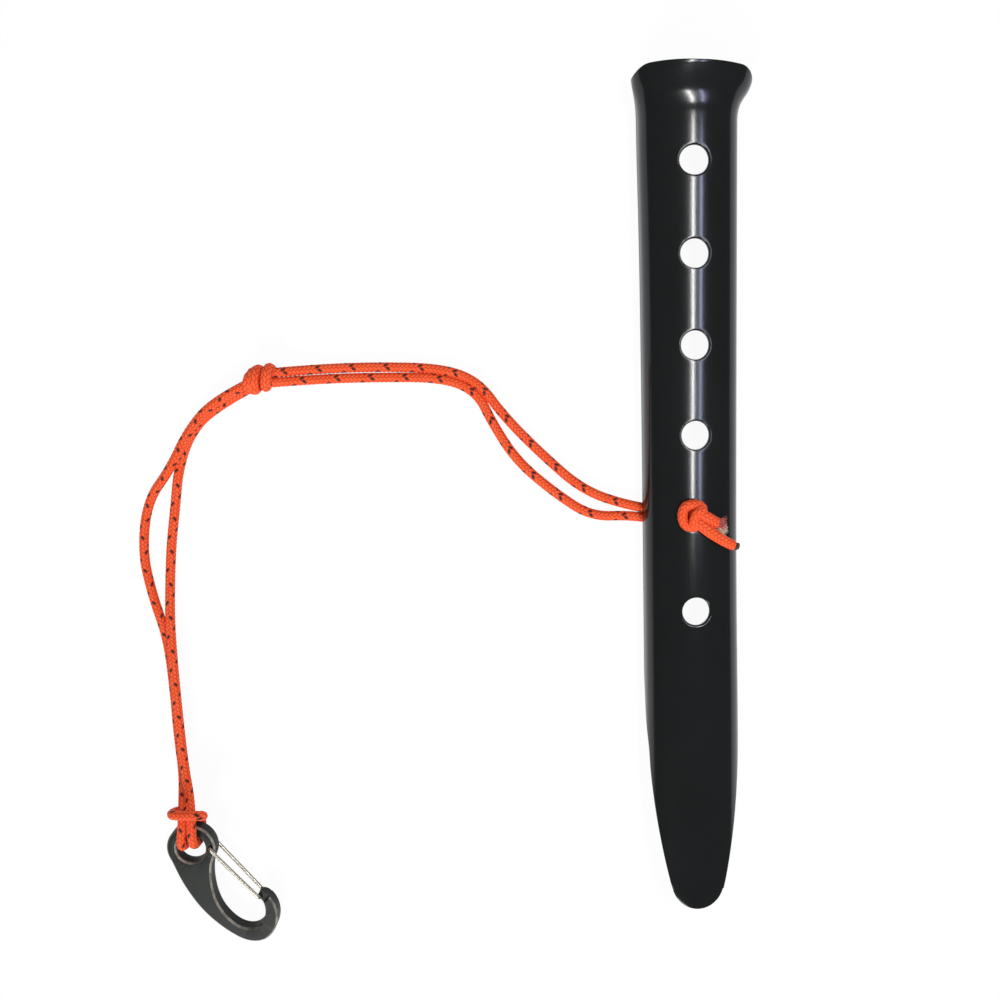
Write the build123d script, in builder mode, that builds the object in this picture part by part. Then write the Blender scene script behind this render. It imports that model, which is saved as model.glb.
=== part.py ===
"""Snow stake lying ready for use, with its doubled cord and small wire-gate carabiner.

A flared half-pipe stake lies on a flat surface along Y, head towards +Y, crown up.
One length of 3 mm braided cord is doubled: its bight is girth-hitched to the
carabiner's eye, both strands share a knot half way, pass under the raised edge of
the shell, come up through the fifth hole and end in a stopper knot on the crown.
All sizes are millimetres, +Z up. The origin is the middle of the shell's footprint.
"""
import os
from math import atan2, cos, pi, radians, sin, tan

from build123d import *

# The shell, in its own frame: u across, v along, w up from the plane of its two feet
SHELL_LENGTH = 253.0
HALF_WIDTH_AT_NECK = 14.05
HALF_WIDTH_AT_TAIL = 13.5
SHELL_HEIGHT = 12.4
SHELL_WALL = 1.6
LEG_HEIGHT = 3.0
SHOULDER_RADIUS = 8.5
SHELL_TILT = 6.7

# The flared head: distance past the neck and how far the wall has moved out there
NECK_V = 113.0
FLARE_STEPS = ((0, 0), (3, 0.25), (6, 1.15), (8.5, 2.55), (11, 3.4), (15, 4.1))
FLARE_AT_RIM = 3.6
FLARE_FOOT_SHARE = 0.4
FLARE_LEG_SHARE = 0.55
FLARE_CROWN_SHARE = 0.9

# The rim and the tapered tail, seen from above
RIM_ARC_END = (13.0, 125.9)
RIM_CORNER_BEND = (16.2, 124.8)
RIM_CORNER_END = (18.6, 122.0)
TAPER_START = (13.7, -72.0)
TAPER_BEND = (11.9, -95.0)
TIP_CORNER = (7.8, -120.8)
CUT_MARGIN = 10.0

# The row of holes along the crown
HOLE_LINE_U = -0.3
HOLE_PITCH = 26.5
FIRST_HOLE_V = 99.6
HOLE_COUNT = 6
OPEN_HOLE_RADIUS = 4.25
CORD_HOLE_RADIUS = 3.3
CORD_HOLE_INDEX = 4

# The cord and its two knots
CORD_DIAMETER = 3.0
CORD_RADIUS = CORD_DIAMETER / 2
ARC_SHARE = 0.45
LOOSEST_BEND = 500.0
HITCH_BEND_LIMIT = 3.1
TAIL_DIAMETER = 3.4
KNOT_CENTRE = (-133.6, 40.1, 4.9)
KNOT_AXIS = (0.961, 0.276, 0)
KNOT_WRAP_RADIUS = 3.3
KNOT_WRAPS = (-3.0, -0.7, 2.4)
KNOT_CORE_RADIUS = 3.0
KNOT_CORE_LENGTH = 8.0
STOPPER_CENTRE = (-1.2, -3.9)
STOPPER_WRAP_RADII = (2.6, 3.7)
STOPPER_WRAP_THICKNESS = 3.2
STOPPER_WRAP_LIFT = 1.7
STOPPER_CORE_LIFT = 0.6
STOPPER_TOP_CENTRE = (-0.5, -3.8)
STOPPER_TOP_RADII = (1.6, 2.6)
STOPPER_TOP_THICKNESS = 2.8
STOPPER_TOP_LIFT = 4.6

# The carabiner, in its own plane: a to the right, b up the picture, eye at the origin
EYE_CENTRE = (-162.1, -111.4)
EYE_LIFT = 3.05
BODY_SLOPE = 0.0769
SLOPE_HEADING = (0.495, -0.869)
EYE_RADIUS = 4.8
RING_RADIUS = 8.0
RING_END_ANGLE = 25.0
BODY_THICKNESS = 4.8
BODY_CHAMFER = 0.6
BEAK_THICKNESS = 3.2
BEAK_STEP = (23.6, -18.4)
BEAK_HEADING = 135.0
BEAK_RELIEF = (8.0, 12.0)
SEAT_RADIUS = 0.75
SEAT_SLOT_LENGTH = 6.0
SEAT_SLOT_TURN = 41.0

# The wire gate
WIRE_DIAMETER = 1.1
WIRE_RADIUS = WIRE_DIAMETER / 2
GATE_PIVOT = (6.35, 0.35)
GATE_BAR = (21.75, -17.55)
GATE_HALF_SPREAD_AT_PIVOT = 3.2
GATE_HALF_SPREAD_AT_BAR = 2.5
PIVOT_BEND_RADIUS = 0.8
BAR_BEND_RADIUS = 1.1
PIVOT_HOLE_RADIUS = 0.65
PIVOT_HOLE_DEPTH = 1.3
PIVOT_PIN_END = 1.2

os.makedirs("parts", exist_ok=True)


# Frame of the tilted shell: its right foot lies on the surface, its left foot is raised
tilt = radians(SHELL_TILT)
foot_at_rim = HALF_WIDTH_AT_NECK + FLARE_FOOT_SHARE * FLARE_AT_RIM
leg_at_rim = LEG_HEIGHT + FLARE_LEG_SHARE * FLARE_AT_RIM
shell_plane = Plane(
    origin=(-leg_at_rim * sin(tilt), 0, foot_at_rim * sin(tilt)),
    x_dir=(cos(tilt), 0, -sin(tilt)),
    z_dir=(sin(tilt), 0, cos(tilt)),
)


def on_shell(u, v, w):
    """Turn shell coordinates into the part's own frame."""
    return shell_plane.from_local_coords(Vector(u, v, w))


def section_plane(v):
    """Plane across the shell at the station v, with its Y axis up the shell."""
    return Plane(origin=on_shell(0, v, 0), x_dir=shell_plane.x_dir, z_dir=(0, -1, 0))


def mirrored(point):
    """The same point on the other side of the middle line."""
    return (-point[0], point[1])


def arch_profile(half, foot, leg, height, shoulder):
    """Points of one side of an arch: foot, leg top, shoulder bend, shoulder end, crown."""
    reach = half - shoulder
    drop = height - leg
    crown_radius = (reach**2 + drop**2 - shoulder**2) / (2 * (drop - shoulder))
    turn = atan2(reach, leg - height + crown_radius)
    middle = (pi / 2 + turn) / 2
    return (
        (foot, 0),
        (half, leg),
        (reach + shoulder * sin(middle), leg + shoulder * cos(middle)),
        (reach + shoulder * sin(turn), leg + shoulder * cos(turn)),
        (0, height),
    )


def shell_section(v, half, growth):
    """Sketch of the shell's wall at the station v, moved out there by the growth."""
    side = half + growth
    foot = half + FLARE_FOOT_SHARE * growth
    leg = LEG_HEIGHT + FLARE_LEG_SHARE * growth
    crown = SHELL_HEIGHT + FLARE_CROWN_SHARE * growth
    outer = arch_profile(side, foot, leg, crown, SHOULDER_RADIUS)
    inner = arch_profile(
        side - SHELL_WALL, foot - SHELL_WALL, leg, crown - SHELL_WALL, SHOULDER_RADIUS - SHELL_WALL
    )
    with BuildSketch(section_plane(v)) as section:
        with BuildLine():
            for foot_end, leg_top, bend, bend_end, crown_top in (outer, inner):
                Line(foot_end, leg_top)
                ThreePointArc(leg_top, bend, bend_end)
                ThreePointArc(bend_end, crown_top, mirrored(bend_end))
                ThreePointArc(mirrored(bend_end), mirrored(bend), mirrored(leg_top))
                Line(mirrored(leg_top), mirrored(foot_end))
            Line(outer[0], inner[0])
            Line(mirrored(outer[0]), mirrored(inner[0]))
        make_face()
    return section.sketch


# Stake shell: a straight half-pipe that lofts on into the flared head
tail_section = shell_section(-SHELL_LENGTH / 2 - 1, HALF_WIDTH_AT_TAIL, 0)
neck_section = shell_section(NECK_V, HALF_WIDTH_AT_NECK, 0)
flare_sections = [
    shell_section(NECK_V + along, HALF_WIDTH_AT_NECK, growth) for along, growth in FLARE_STEPS
]
rim_far = (RIM_CORNER_END[0] + CUT_MARGIN, RIM_CORNER_END[1] - CUT_MARGIN)
taper_far = (TAPER_START[0] + CUT_MARGIN, TAPER_START[1] + CUT_MARGIN)

with BuildPart() as stake_shell:
    loft(sections=[tail_section, neck_section], ruled=True)
    loft(sections=flare_sections)
    with BuildSketch(shell_plane):
        with BuildLine():
            ThreePointArc(mirrored(TIP_CORNER), (0, -SHELL_LENGTH / 2), TIP_CORNER)
            ThreePointArc(TIP_CORNER, TAPER_BEND, TAPER_START)
            Polyline(TAPER_START, taper_far, rim_far, RIM_CORNER_END)
            ThreePointArc(RIM_CORNER_END, RIM_CORNER_BEND, RIM_ARC_END)
            ThreePointArc(RIM_ARC_END, (0, SHELL_LENGTH / 2), mirrored(RIM_ARC_END))
            ThreePointArc(
                mirrored(RIM_ARC_END), mirrored(RIM_CORNER_BEND), mirrored(RIM_CORNER_END)
            )
            Polyline(
                mirrored(RIM_CORNER_END), mirrored(rim_far), mirrored(taper_far), mirrored(TAPER_START)
            )
            ThreePointArc(mirrored(TAPER_START), mirrored(TAPER_BEND), mirrored(TIP_CORNER))
        make_face()
    extrude(amount=2 * SHELL_HEIGHT, both=True, mode=Mode.INTERSECT)
    with BuildSketch(shell_plane.offset(SHELL_HEIGHT / 2)):
        for number in range(HOLE_COUNT):
            with Locations((HOLE_LINE_U, FIRST_HOLE_V - number * HOLE_PITCH)):
                Circle(CORD_HOLE_RADIUS if number == CORD_HOLE_INDEX else OPEN_HOLE_RADIUS)
    extrude(amount=SHELL_HEIGHT, mode=Mode.SUBTRACT)

stake_shell.part.label = "stake_shell"
export_step(stake_shell.part, "parts/stake_shell.step")


def bend_radii(points, limit=LOOSEST_BEND):
    """Bend radius at each corner of a route, from its shorter run and its turn."""
    radii = []
    for before, corner, after in zip(points, points[1:], points[2:]):
        run_in = Vector(corner) - Vector(before)
        run_out = Vector(after) - Vector(corner)
        half_turn = radians(run_in.get_angle(run_out)) / 2
        shorter = min(run_in.length, run_out.length)
        radii.append(min(ARC_SHARE * shorter / tan(half_turn), limit))
    return radii


def tube(label, points, radii, diameter=CORD_DIAMETER):
    """Round tube along a route whose corners are eased with the given radii."""
    with BuildPart() as piece:
        with BuildLine() as route:
            FilletPolyline(*points, radius=radii)
        with BuildSketch(Plane(origin=route.line @ 0, z_dir=route.line % 0)):
            Circle(diameter / 2)
        sweep(path=route.line)
    piece.part.label = label
    length = sum(edge.length for edge in route.edges())
    expected = pi * diameter**2 / 4 * length
    print(f"{label}: length {length:.1f}, tightest bend {min(radii):.1f}", end=", ")
    print(f"volume over section x length {piece.part.volume / expected:.4f}")
    return piece


# The two strands between the shell's fifth hole and the middle knot
upper_route = [
    (0.70, -4.8, 14.9),
    (-0.07, -4.8, 8.31),
    (-6.4, -3.9, CORD_RADIUS),
    (-18.6, -1.7, CORD_RADIUS),
    (-32.6, 3.2, CORD_RADIUS),
    (-45.6, 14.0, CORD_RADIUS),
    (-56.7, 27.5, CORD_RADIUS),
    (-63.5, 38.5, CORD_RADIUS),
    (-75.6, 42.2, CORD_RADIUS),
    (-96.6, 42.9, CORD_RADIUS),
    (-116.6, 43.3, CORD_RADIUS),
    (-130.6, 42.4, 4.3),
]
cord_strand_upper = tube("cord_strand_upper", upper_route, bend_radii(upper_route))
export_step(cord_strand_upper.part, "parts/cord_strand_upper.step")

lower_route = [
    (0.70, -8.0, 14.9),
    (-0.07, -8.0, 8.31),
    (-6.4, -7.2, CORD_RADIUS),
    (-18.1, -4.8, CORD_RADIUS),
    (-30.1, -4.9, CORD_RADIUS),
    (-41.1, 2.6, CORD_RADIUS),
    (-53.6, 12.2, CORD_RADIUS),
    (-60.5, 24.0, CORD_RADIUS),
    (-64.9, 34.4, CORD_RADIUS),
    (-75.6, 38.9, CORD_RADIUS),
    (-95.6, 39.6, CORD_RADIUS),
    (-115.6, 39.9, CORD_RADIUS),
    (-130.6, 39.1, 4.3),
]
cord_strand_lower = tube("cord_strand_lower", lower_route, bend_radii(lower_route))
export_step(cord_strand_lower.part, "parts/cord_strand_lower.step")

# The two strands between the middle knot and the girth hitch
left_route = [
    (-135.4, 40.3, 5.2),
    (-149.1, 33.9, CORD_RADIUS),
    (-158.4, 24.4, CORD_RADIUS),
    (-165.1, 12.0, CORD_RADIUS),
    (-172.8, 2.0, CORD_RADIUS),
    (-175.5, -14.5, CORD_RADIUS),
    (-173.0, -29.0, CORD_RADIUS),
    (-168.9, -43.0, CORD_RADIUS),
    (-167.5, -60.5, CORD_RADIUS),
    (-167.0, -76.0, CORD_RADIUS),
    (-166.2, -88.0, CORD_RADIUS),
    (-164.95, -95.1, 5.8),
]
cord_strand_left = tube("cord_strand_left", left_route, bend_radii(left_route))
export_step(cord_strand_left.part, "parts/cord_strand_left.step")

right_route = [
    (-135.2, 37.0, 4.4),
    (-149.2, 29.6, CORD_RADIUS),
    (-156.2, 21.3, CORD_RADIUS),
    (-161.1, 11.5, CORD_RADIUS),
    (-163.2, 0.5, CORD_RADIUS),
    (-165.2, -12.0, CORD_RADIUS),
    (-166.5, -24.0, CORD_RADIUS),
    (-166.8, -37.5, 3.9),
    (-166.2, -54.0, 4.6),
    (-165.5, -70.5, 4.6),
    (-164.6, -86.0, 4.6),
    (-162.475, -94.1, 7.35),
]
cord_strand_right = tube("cord_strand_right", right_route, bend_radii(right_route))
export_step(cord_strand_right.part, "parts/cord_strand_right.step")

# Girth hitch: the cord's bight, up through the eye, round the ring and over itself
hitch_route = [
    left_route[-1],
    (-163.7, -102.2, 10.1),
    (-163.65, -108.8, 9.9),
    (-163.65, -108.8, 1.55),
    (-167.3, -99.6, 1.55),
    (-167.3, -99.4, 12.3),
    (-157.9, -99.2, 12.3),
    (-157.9, -99.6, 1.55),
    (-160.45, -108.8, 1.55),
    (-160.45, -108.8, 9.9),
    (-160.35, -102.2, 10.1),
    right_route[-1],
]
girth_hitch = tube("girth_hitch", hitch_route, bend_radii(hitch_route, HITCH_BEND_LIMIT))
export_step(girth_hitch.part, "parts/girth_hitch.step")

# The cord's two ends, leaving the stopper knot down the right flank of the shell
upper_tail_route = [(-0.1, -1.8, 17.3), (5.0, -3.8, 15.9), (10.2, -6.5, 13.6)]
cord_tail_upper = tube(
    "cord_tail_upper", upper_tail_route, bend_radii(upper_tail_route), TAIL_DIAMETER
)
export_step(cord_tail_upper.part, "parts/cord_tail_upper.step")

lower_tail_route = [(-0.1, -5.6, 17.3), (6.2, -9.2, 15.8), (12.8, -13.2, 12.9)]
cord_tail_lower = tube(
    "cord_tail_lower", lower_tail_route, bend_radii(lower_tail_route), TAIL_DIAMETER
)
export_step(cord_tail_lower.part, "parts/cord_tail_lower.step")


# Middle knot: three turns of the cord drawn tight over the two strands
knot_axis = Vector(*KNOT_AXIS)
knot_plane = Plane(origin=KNOT_CENTRE, x_dir=knot_axis, z_dir=knot_axis.cross(Vector(0, 0, 1)))
with BuildPart() as middle_knot:
    with BuildSketch(knot_plane):
        with Locations(*[(along, KNOT_WRAP_RADIUS) for along in KNOT_WRAPS]):
            Circle(CORD_RADIUS)
        Rectangle(KNOT_CORE_LENGTH, KNOT_CORE_RADIUS, align=(Align.CENTER, Align.MIN))
    revolve(axis=Axis(KNOT_CENTRE, KNOT_AXIS))

middle_knot.part.label = "middle_knot"
export_step(middle_knot.part, "parts/middle_knot.step")

def wrap_tube(plane, centre, across, along, thickness):
    """Closed turn of flattened cord: a slot-shaped loop of round tube on a plane."""
    right, left = centre[0] + across, centre[0] - across
    far, near = centre[1] + along - across, centre[1] - along + across
    with BuildPart() as turn:
        with BuildLine(plane) as loop:
            Line((right, near), (right, far))
            ThreePointArc((right, far), (centre[0], centre[1] + along), (left, far))
            Line((left, far), (left, near))
            ThreePointArc((left, near), (centre[0], centre[1] - along), (right, near))
        with BuildSketch(Plane(origin=loop.line @ 0, z_dir=loop.line % 0)):
            Circle(thickness / 2)
        sweep(path=loop.line)
    return turn


# Stopper knot: a wrap lying on the crown, a smaller one on top of it and the core
wrap_plane = shell_plane.offset(SHELL_HEIGHT + STOPPER_WRAP_LIFT)
top_plane = shell_plane.offset(SHELL_HEIGHT + STOPPER_TOP_LIFT)
lower_wrap = wrap_tube(wrap_plane, STOPPER_CENTRE, *STOPPER_WRAP_RADII, STOPPER_WRAP_THICKNESS)
upper_wrap = wrap_tube(top_plane, STOPPER_TOP_CENTRE, *STOPPER_TOP_RADII, STOPPER_TOP_THICKNESS)

with BuildPart() as stopper_knot:
    with BuildSketch(shell_plane.offset(SHELL_HEIGHT + STOPPER_CORE_LIFT)):
        with Locations(STOPPER_CENTRE):
            SlotOverall(2 * STOPPER_WRAP_RADII[1], 2 * STOPPER_WRAP_RADII[0], rotation=90)
    extrude(amount=STOPPER_TOP_LIFT)
    add(lower_wrap.part)
    add(upper_wrap.part)

stopper_knot.part.label = "stopper_knot"
export_step(stopper_knot.part, "parts/stopper_knot.step")


# Carabiner body: a flat ring that runs on into a broad spine and round into a hook
slope_a, slope_b = (BODY_SLOPE * part for part in SLOPE_HEADING)
body_plane = Plane(
    origin=(*EYE_CENTRE, EYE_LIFT + BODY_THICKNESS / 2),
    x_dir=(1, 0, -slope_a),
    z_dir=(slope_a, slope_b, 1),
)
ring_turn = radians(RING_END_ANGLE)
ring_right = (RING_RADIUS * cos(ring_turn), -RING_RADIUS * sin(ring_turn))
ring_left = mirrored(ring_right)
outline_points = [
    ring_left,
    (-4.7, -9.75),
    (-1.4, -16.3),
    (2.1, -21.5),
    (6.8, -26.5),
    (11.9, -30.5),
    (15.9, -32.6),
    (19.1, -33.15),
    (22.4, -32.4),
    (25.4, -29.6),
    (27.1, -24.6),
    (26.5, -20.2),
    (24.8, -17.3),
    (22.8, -15.9),
    (21.2, -16.1),
    (20.8, -17.3),
    (22.0, -18.6),
    (22.9, -20.4),
    (22.9, -23.7),
    (21.7, -26.3),
    (19.7, -27.9),
    (17.2, -28.3),
    (14.0, -27.3),
    (11.1, -24.9),
    (8.6, -21.5),
    (6.9, -17.2),
    (6.15, -12.8),
    (6.05, -9.0),
    (6.4, -5.8),
    ring_right,
]
leave_ring = (sin(ring_turn), -cos(ring_turn))
meet_ring = (sin(ring_turn), cos(ring_turn))

with BuildPart() as carabiner_body:
    with BuildSketch(body_plane):
        with BuildLine():
            ThreePointArc(ring_right, (0, RING_RADIUS), ring_left)
            Spline(*outline_points, tangents=(leave_ring, meet_ring))
        make_face()
        Circle(EYE_RADIUS, mode=Mode.SUBTRACT)
    extrude(amount=BODY_THICKNESS / 2, both=True)
    flat_faces = carabiner_body.faces().filter_by(Axis((0, 0, 0), body_plane.z_dir))
    chamfer(flat_faces.edges(), BODY_CHAMFER)
    with BuildSketch(body_plane.offset(BEAK_THICKNESS / 2)):
        with Locations(BEAK_STEP):
            Rectangle(*BEAK_RELIEF, rotation=BEAK_HEADING, align=(Align.MIN, Align.CENTER))
    extrude(amount=BODY_THICKNESS, mode=Mode.SUBTRACT)
    with BuildSketch(body_plane.offset(-BEAK_THICKNESS / 2)):
        with Locations(BEAK_STEP):
            Rectangle(*BEAK_RELIEF, rotation=BEAK_HEADING, align=(Align.MIN, Align.CENTER))
    extrude(amount=-BODY_THICKNESS, mode=Mode.SUBTRACT)
    with BuildSketch(body_plane):
        with Locations(GATE_BAR):
            Circle(SEAT_RADIUS)
            Rectangle(
                SEAT_SLOT_LENGTH,
                2 * SEAT_RADIUS,
                rotation=SEAT_SLOT_TURN,
                align=(Align.MAX, Align.CENTER),
            )
    extrude(amount=BODY_THICKNESS, both=True, mode=Mode.SUBTRACT)
    with BuildSketch(body_plane.offset(BODY_THICKNESS / 2)):
        with Locations(GATE_PIVOT):
            Circle(PIVOT_HOLE_RADIUS)
    extrude(amount=-PIVOT_HOLE_DEPTH, mode=Mode.SUBTRACT)
    with BuildSketch(body_plane.offset(-BODY_THICKNESS / 2)):
        with Locations(GATE_PIVOT):
            Circle(PIVOT_HOLE_RADIUS)
    extrude(amount=PIVOT_HOLE_DEPTH, mode=Mode.SUBTRACT)

carabiner_body.part.label = "carabiner_body"
export_step(carabiner_body.part, "parts/carabiner_body.step")


def on_body(a, b, height):
    """Turn carabiner coordinates into the part's own frame."""
    return body_plane.from_local_coords(Vector(a, b, height))


# Wire gate: one spring wire bent to a U, its ends turned in as pins
gate_route = [
    on_body(*GATE_PIVOT, PIVOT_PIN_END),
    on_body(*GATE_PIVOT, GATE_HALF_SPREAD_AT_PIVOT),
    on_body(*GATE_BAR, GATE_HALF_SPREAD_AT_BAR),
    on_body(*GATE_BAR, -GATE_HALF_SPREAD_AT_BAR),
    on_body(*GATE_PIVOT, -GATE_HALF_SPREAD_AT_PIVOT),
    on_body(*GATE_PIVOT, -PIVOT_PIN_END),
]
gate_bends = [PIVOT_BEND_RADIUS, BAR_BEND_RADIUS, BAR_BEND_RADIUS, PIVOT_BEND_RADIUS]
wire_gate = tube("wire_gate", gate_route, gate_bends, WIRE_DIAMETER)
export_step(wire_gate.part, "parts/wire_gate.step")
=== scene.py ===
"""Dresses the packed snow stake: black flared shell, doubled orange cord, small carabiner.

Everything is in metres in the CAD's own frame: +Z up, the stake along Y with its head
towards +Y, the surface it lies on at Z = 0. Sizes in the classes are millimetres, as a
maker would write them, and are turned into metres where a mesh is made.
"""
import logging
from dataclasses import dataclass, field
from enum import Enum
from functools import reduce
from math import cos, pi, radians, sin
from typing import Any, Optional, Sequence, Union

import bmesh
import bpy
import numpy as np
from mathutils import Matrix


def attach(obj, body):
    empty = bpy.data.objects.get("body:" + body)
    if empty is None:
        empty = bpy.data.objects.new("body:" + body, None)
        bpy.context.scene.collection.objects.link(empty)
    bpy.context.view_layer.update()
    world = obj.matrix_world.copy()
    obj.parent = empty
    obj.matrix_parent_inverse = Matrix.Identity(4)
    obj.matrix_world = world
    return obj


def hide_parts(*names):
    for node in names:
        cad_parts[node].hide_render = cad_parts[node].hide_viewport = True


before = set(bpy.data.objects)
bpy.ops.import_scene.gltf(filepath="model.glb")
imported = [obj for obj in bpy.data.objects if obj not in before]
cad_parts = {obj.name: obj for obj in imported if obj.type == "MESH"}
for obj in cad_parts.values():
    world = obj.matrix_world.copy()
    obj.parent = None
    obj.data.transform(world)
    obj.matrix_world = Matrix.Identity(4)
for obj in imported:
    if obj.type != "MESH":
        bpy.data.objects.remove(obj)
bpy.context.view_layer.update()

LOG = logging.getLogger("snow_stake")
MM = 0.001
FULL_TURN = 2 * pi
QUARTER_TURN = pi / 2
UP = (0.0, 0.0, 1.0)
OFF_AXIS = (0.3, 0.2, 1.0)
CURVE_SAMPLES = 60
WHITE = (1.0, 1.0, 1.0)

Point = tuple[float, float, float]
Array = np.ndarray


class Body(Enum):
    """The moving bodies of the frame."""

    STAKE = "stake_with_cord"
    CARABINER = "carabiner"
    GATE = "gate"


class Slot(Enum):
    """The record's material slots."""

    SHELL = "shell_anodised"
    CORD = "cord"
    CARABINER = "carabiner_anodised"
    GATE = "gate_steel"


# Curves and meshes


class SmoothCurve:
    """Cubic curve through given values, with free or given slopes at its two ends."""

    def __init__(
        self,
        knots: Sequence[float],
        values: Sequence[Any],
        end_slopes: Optional[tuple[Any, Any]] = None,
    ) -> None:
        """Solve the knots' second derivatives so that slopes and bends stay continuous.

        Args:
            knots: Rising parameter values.
            values: Number or vector at each knot.
            end_slopes: First derivatives at both ends, or None for straight ends.
        """
        self.knots = np.asarray(knots, float)
        self.values = np.asarray(values, float).reshape(len(self.knots), -1)
        step = np.diff(self.knots)
        rise = np.diff(self.values, axis=0) / step[:, None]
        count = len(self.knots)
        system = np.eye(count)
        right = np.zeros((count, self.values.shape[1]))
        inner = np.arange(1, count - 1)
        system[inner, inner - 1] = step[:-1]
        system[inner, inner] = 2 * (step[:-1] + step[1:])
        system[inner, inner + 1] = step[1:]
        right[inner] = 6 * (rise[1:] - rise[:-1])
        if end_slopes is not None:
            system[0, :2] = (2 * step[0], step[0])
            system[-1, -2:] = (step[-1], 2 * step[-1])
            right[0] = 6 * (rise[0] - np.asarray(end_slopes[0], float))
            right[-1] = 6 * (np.asarray(end_slopes[1], float) - rise[-1])
        self.bends = np.linalg.solve(system, right)

    def __call__(self, where: Array) -> Array:
        """Values of the cubic pieces at the given parameters, clamped to the ends.

        Each piece is the straight line between its two knots, plus a bend that is a third
        power of the distance from either knot.

        Args:
            where: Parameters.

        Returns:
            Number or vector at each parameter.
        """
        asked = np.clip(np.asarray(where, float), self.knots[0], self.knots[-1])
        piece = np.clip(np.searchsorted(self.knots, asked, "right") - 1, 0, len(self.knots) - 2)
        width = (self.knots[piece + 1] - self.knots[piece])[..., None]
        after = (asked - self.knots[piece])[..., None] / width
        before = 1 - after
        straight = before * self.values[piece] + after * self.values[piece + 1]
        bend = (before**3 - before) * self.bends[piece]
        bend = bend + (after**3 - after) * self.bends[piece + 1]
        result = straight + bend * width**2 / 6
        return result[..., 0] if result.shape[-1] == 1 else result


def unit(vectors: Array) -> Array:
    """The same directions with length one."""
    return vectors / np.maximum(np.linalg.norm(vectors, axis=-1, keepdims=True), 1e-12)


def distances_along(points: Array) -> Array:
    """Distance from the first point along the points, at each of them."""
    steps = np.linalg.norm(np.diff(points, axis=0), axis=1)
    return np.concatenate([[0.0], np.cumsum(steps)])


def evenly_spaced(points: Array, spacing: float) -> Array:
    """The same line with points at an even distance of about the given spacing.

    Args:
        points: Points of the line.
        spacing: Wanted distance between neighbours.

    Returns:
        The new points, the two ends among them.
    """
    reached = distances_along(points)
    wanted = np.linspace(0, reached[-1], max(3, int(round(reached[-1] / spacing)) + 1))
    return np.stack([np.interp(wanted, reached, points[:, axis]) for axis in range(3)], axis=1)


def grid_faces(rows: int, columns: int, closed: bool = False) -> Array:
    """Quads of a grid of points numbered row by row.

    Args:
        rows: Number of rows of points.
        columns: Number of points in a row.
        closed: Whether the last column joins the first one.

    Returns:
        Point numbers, four to a face.
    """
    row = np.arange(rows - 1)[:, None]
    column = np.arange(columns if closed else columns - 1)[None, :]
    following = (column + 1) % columns
    corners = (
        row * columns + column,
        row * columns + following,
        (row + 1) * columns + following,
        (row + 1) * columns + column,
    )
    return np.stack([corner.ravel() for corner in np.broadcast_arrays(*corners)], axis=1)


def ring_faces(rings: Array) -> Array:
    """Quads between closed rings of point numbers, one ring a row."""
    following = np.roll(rings, -1, axis=1)
    return np.stack([rings[:-1], following[:-1], following[1:], rings[1:]], axis=-1).reshape(-1, 4)


def fan_faces(centre: int, ring: Array) -> Array:
    """Triangles from a centre point to each edge of a closed ring."""
    return np.stack([np.full(len(ring), centre), ring, np.roll(ring, -1)], axis=1)


def outline(numbers: Array) -> Array:
    """Point numbers round the border of a block of a grid, each of them once."""
    sides = (numbers[0, :-1], numbers[:-1, -1], numbers[-1, :0:-1], numbers[:0:-1, 0])
    return np.concatenate(sides)


@dataclass
class Surface:
    """Points in metres with faces, and a UV for each point where a pattern follows it."""

    points: Array
    faces: list[Array]
    turns: Optional[Array] = None
    along: Optional[Array] = None

    def joined(self, other: "Surface") -> "Surface":
        """Both surfaces as one, each still closed in itself.

        Args:
            other: Surface that comes after this one, with turns if this one has them.

        Returns:
            The joined surface.
        """
        shift = len(self.points)
        return Surface(
            np.concatenate([self.points, other.points]),
            self.faces + [faces + shift for faces in other.faces],
            np.concatenate([self.turns, other.turns]) if self.turns is not None else None,
            np.concatenate([self.along, other.along]) if self.along is not None else None,
        )

    def as_object(self, name: str) -> bpy.types.Object:
        """Put the points and faces into a mesh and link an object that shows it.

        Args:
            name: Name of the piece.

        Returns:
            The object, at the origin.
        """
        mesh = bpy.data.meshes.new(name)
        counts = np.concatenate([np.full(len(faces), faces.shape[1]) for faces in self.faces])
        corners = np.concatenate([faces.ravel() for faces in self.faces])
        starts = np.concatenate([[0], np.cumsum(counts)[:-1]])
        mesh.vertices.add(len(self.points))
        mesh.vertices.foreach_set("co", self.points.astype(np.float32).ravel())
        mesh.loops.add(len(corners))
        mesh.loops.foreach_set("vertex_index", corners.astype(np.int32))
        mesh.polygons.add(len(counts))
        mesh.polygons.foreach_set("loop_start", starts.astype(np.int32))
        mesh.polygons.foreach_set("loop_total", counts.astype(np.int32))
        mesh.polygons.foreach_set("use_smooth", np.ones(len(counts), bool))
        mesh.update(calc_edges=True)
        if self.turns is not None:
            self._write_uv(mesh, corners, counts)
        item = bpy.data.objects.new(name, mesh)
        bpy.context.scene.collection.objects.link(item)
        return item

    def _write_uv(self, mesh: bpy.types.Mesh, corners: Array, counts: Array) -> None:
        """Write turns and distance to a UV map, whole turns being closed at the seam.

        In a face that has a corner in the last quarter turn, a corner in the first quarter
        belongs to the next turn, so it gets one turn more.

        Args:
            mesh: Mesh of the surface.
            corners: Point number of each face corner.
            counts: Number of corners of each face.
        """
        turn = self.turns[corners]
        face = np.repeat(np.arange(len(counts)), counts)
        widest = np.zeros(len(counts))
        np.maximum.at(widest, face, turn)
        turn = np.where((widest[face] > 0.75) & (turn < 0.25), turn + 1, turn)
        layer = mesh.uv_layers.new(name="Sheath")
        layer.data.foreach_set("uv", np.stack([turn, self.along[corners]], axis=1).ravel())


# The cord's sheath, a plait of two sets of yarns over two and under two


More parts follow.
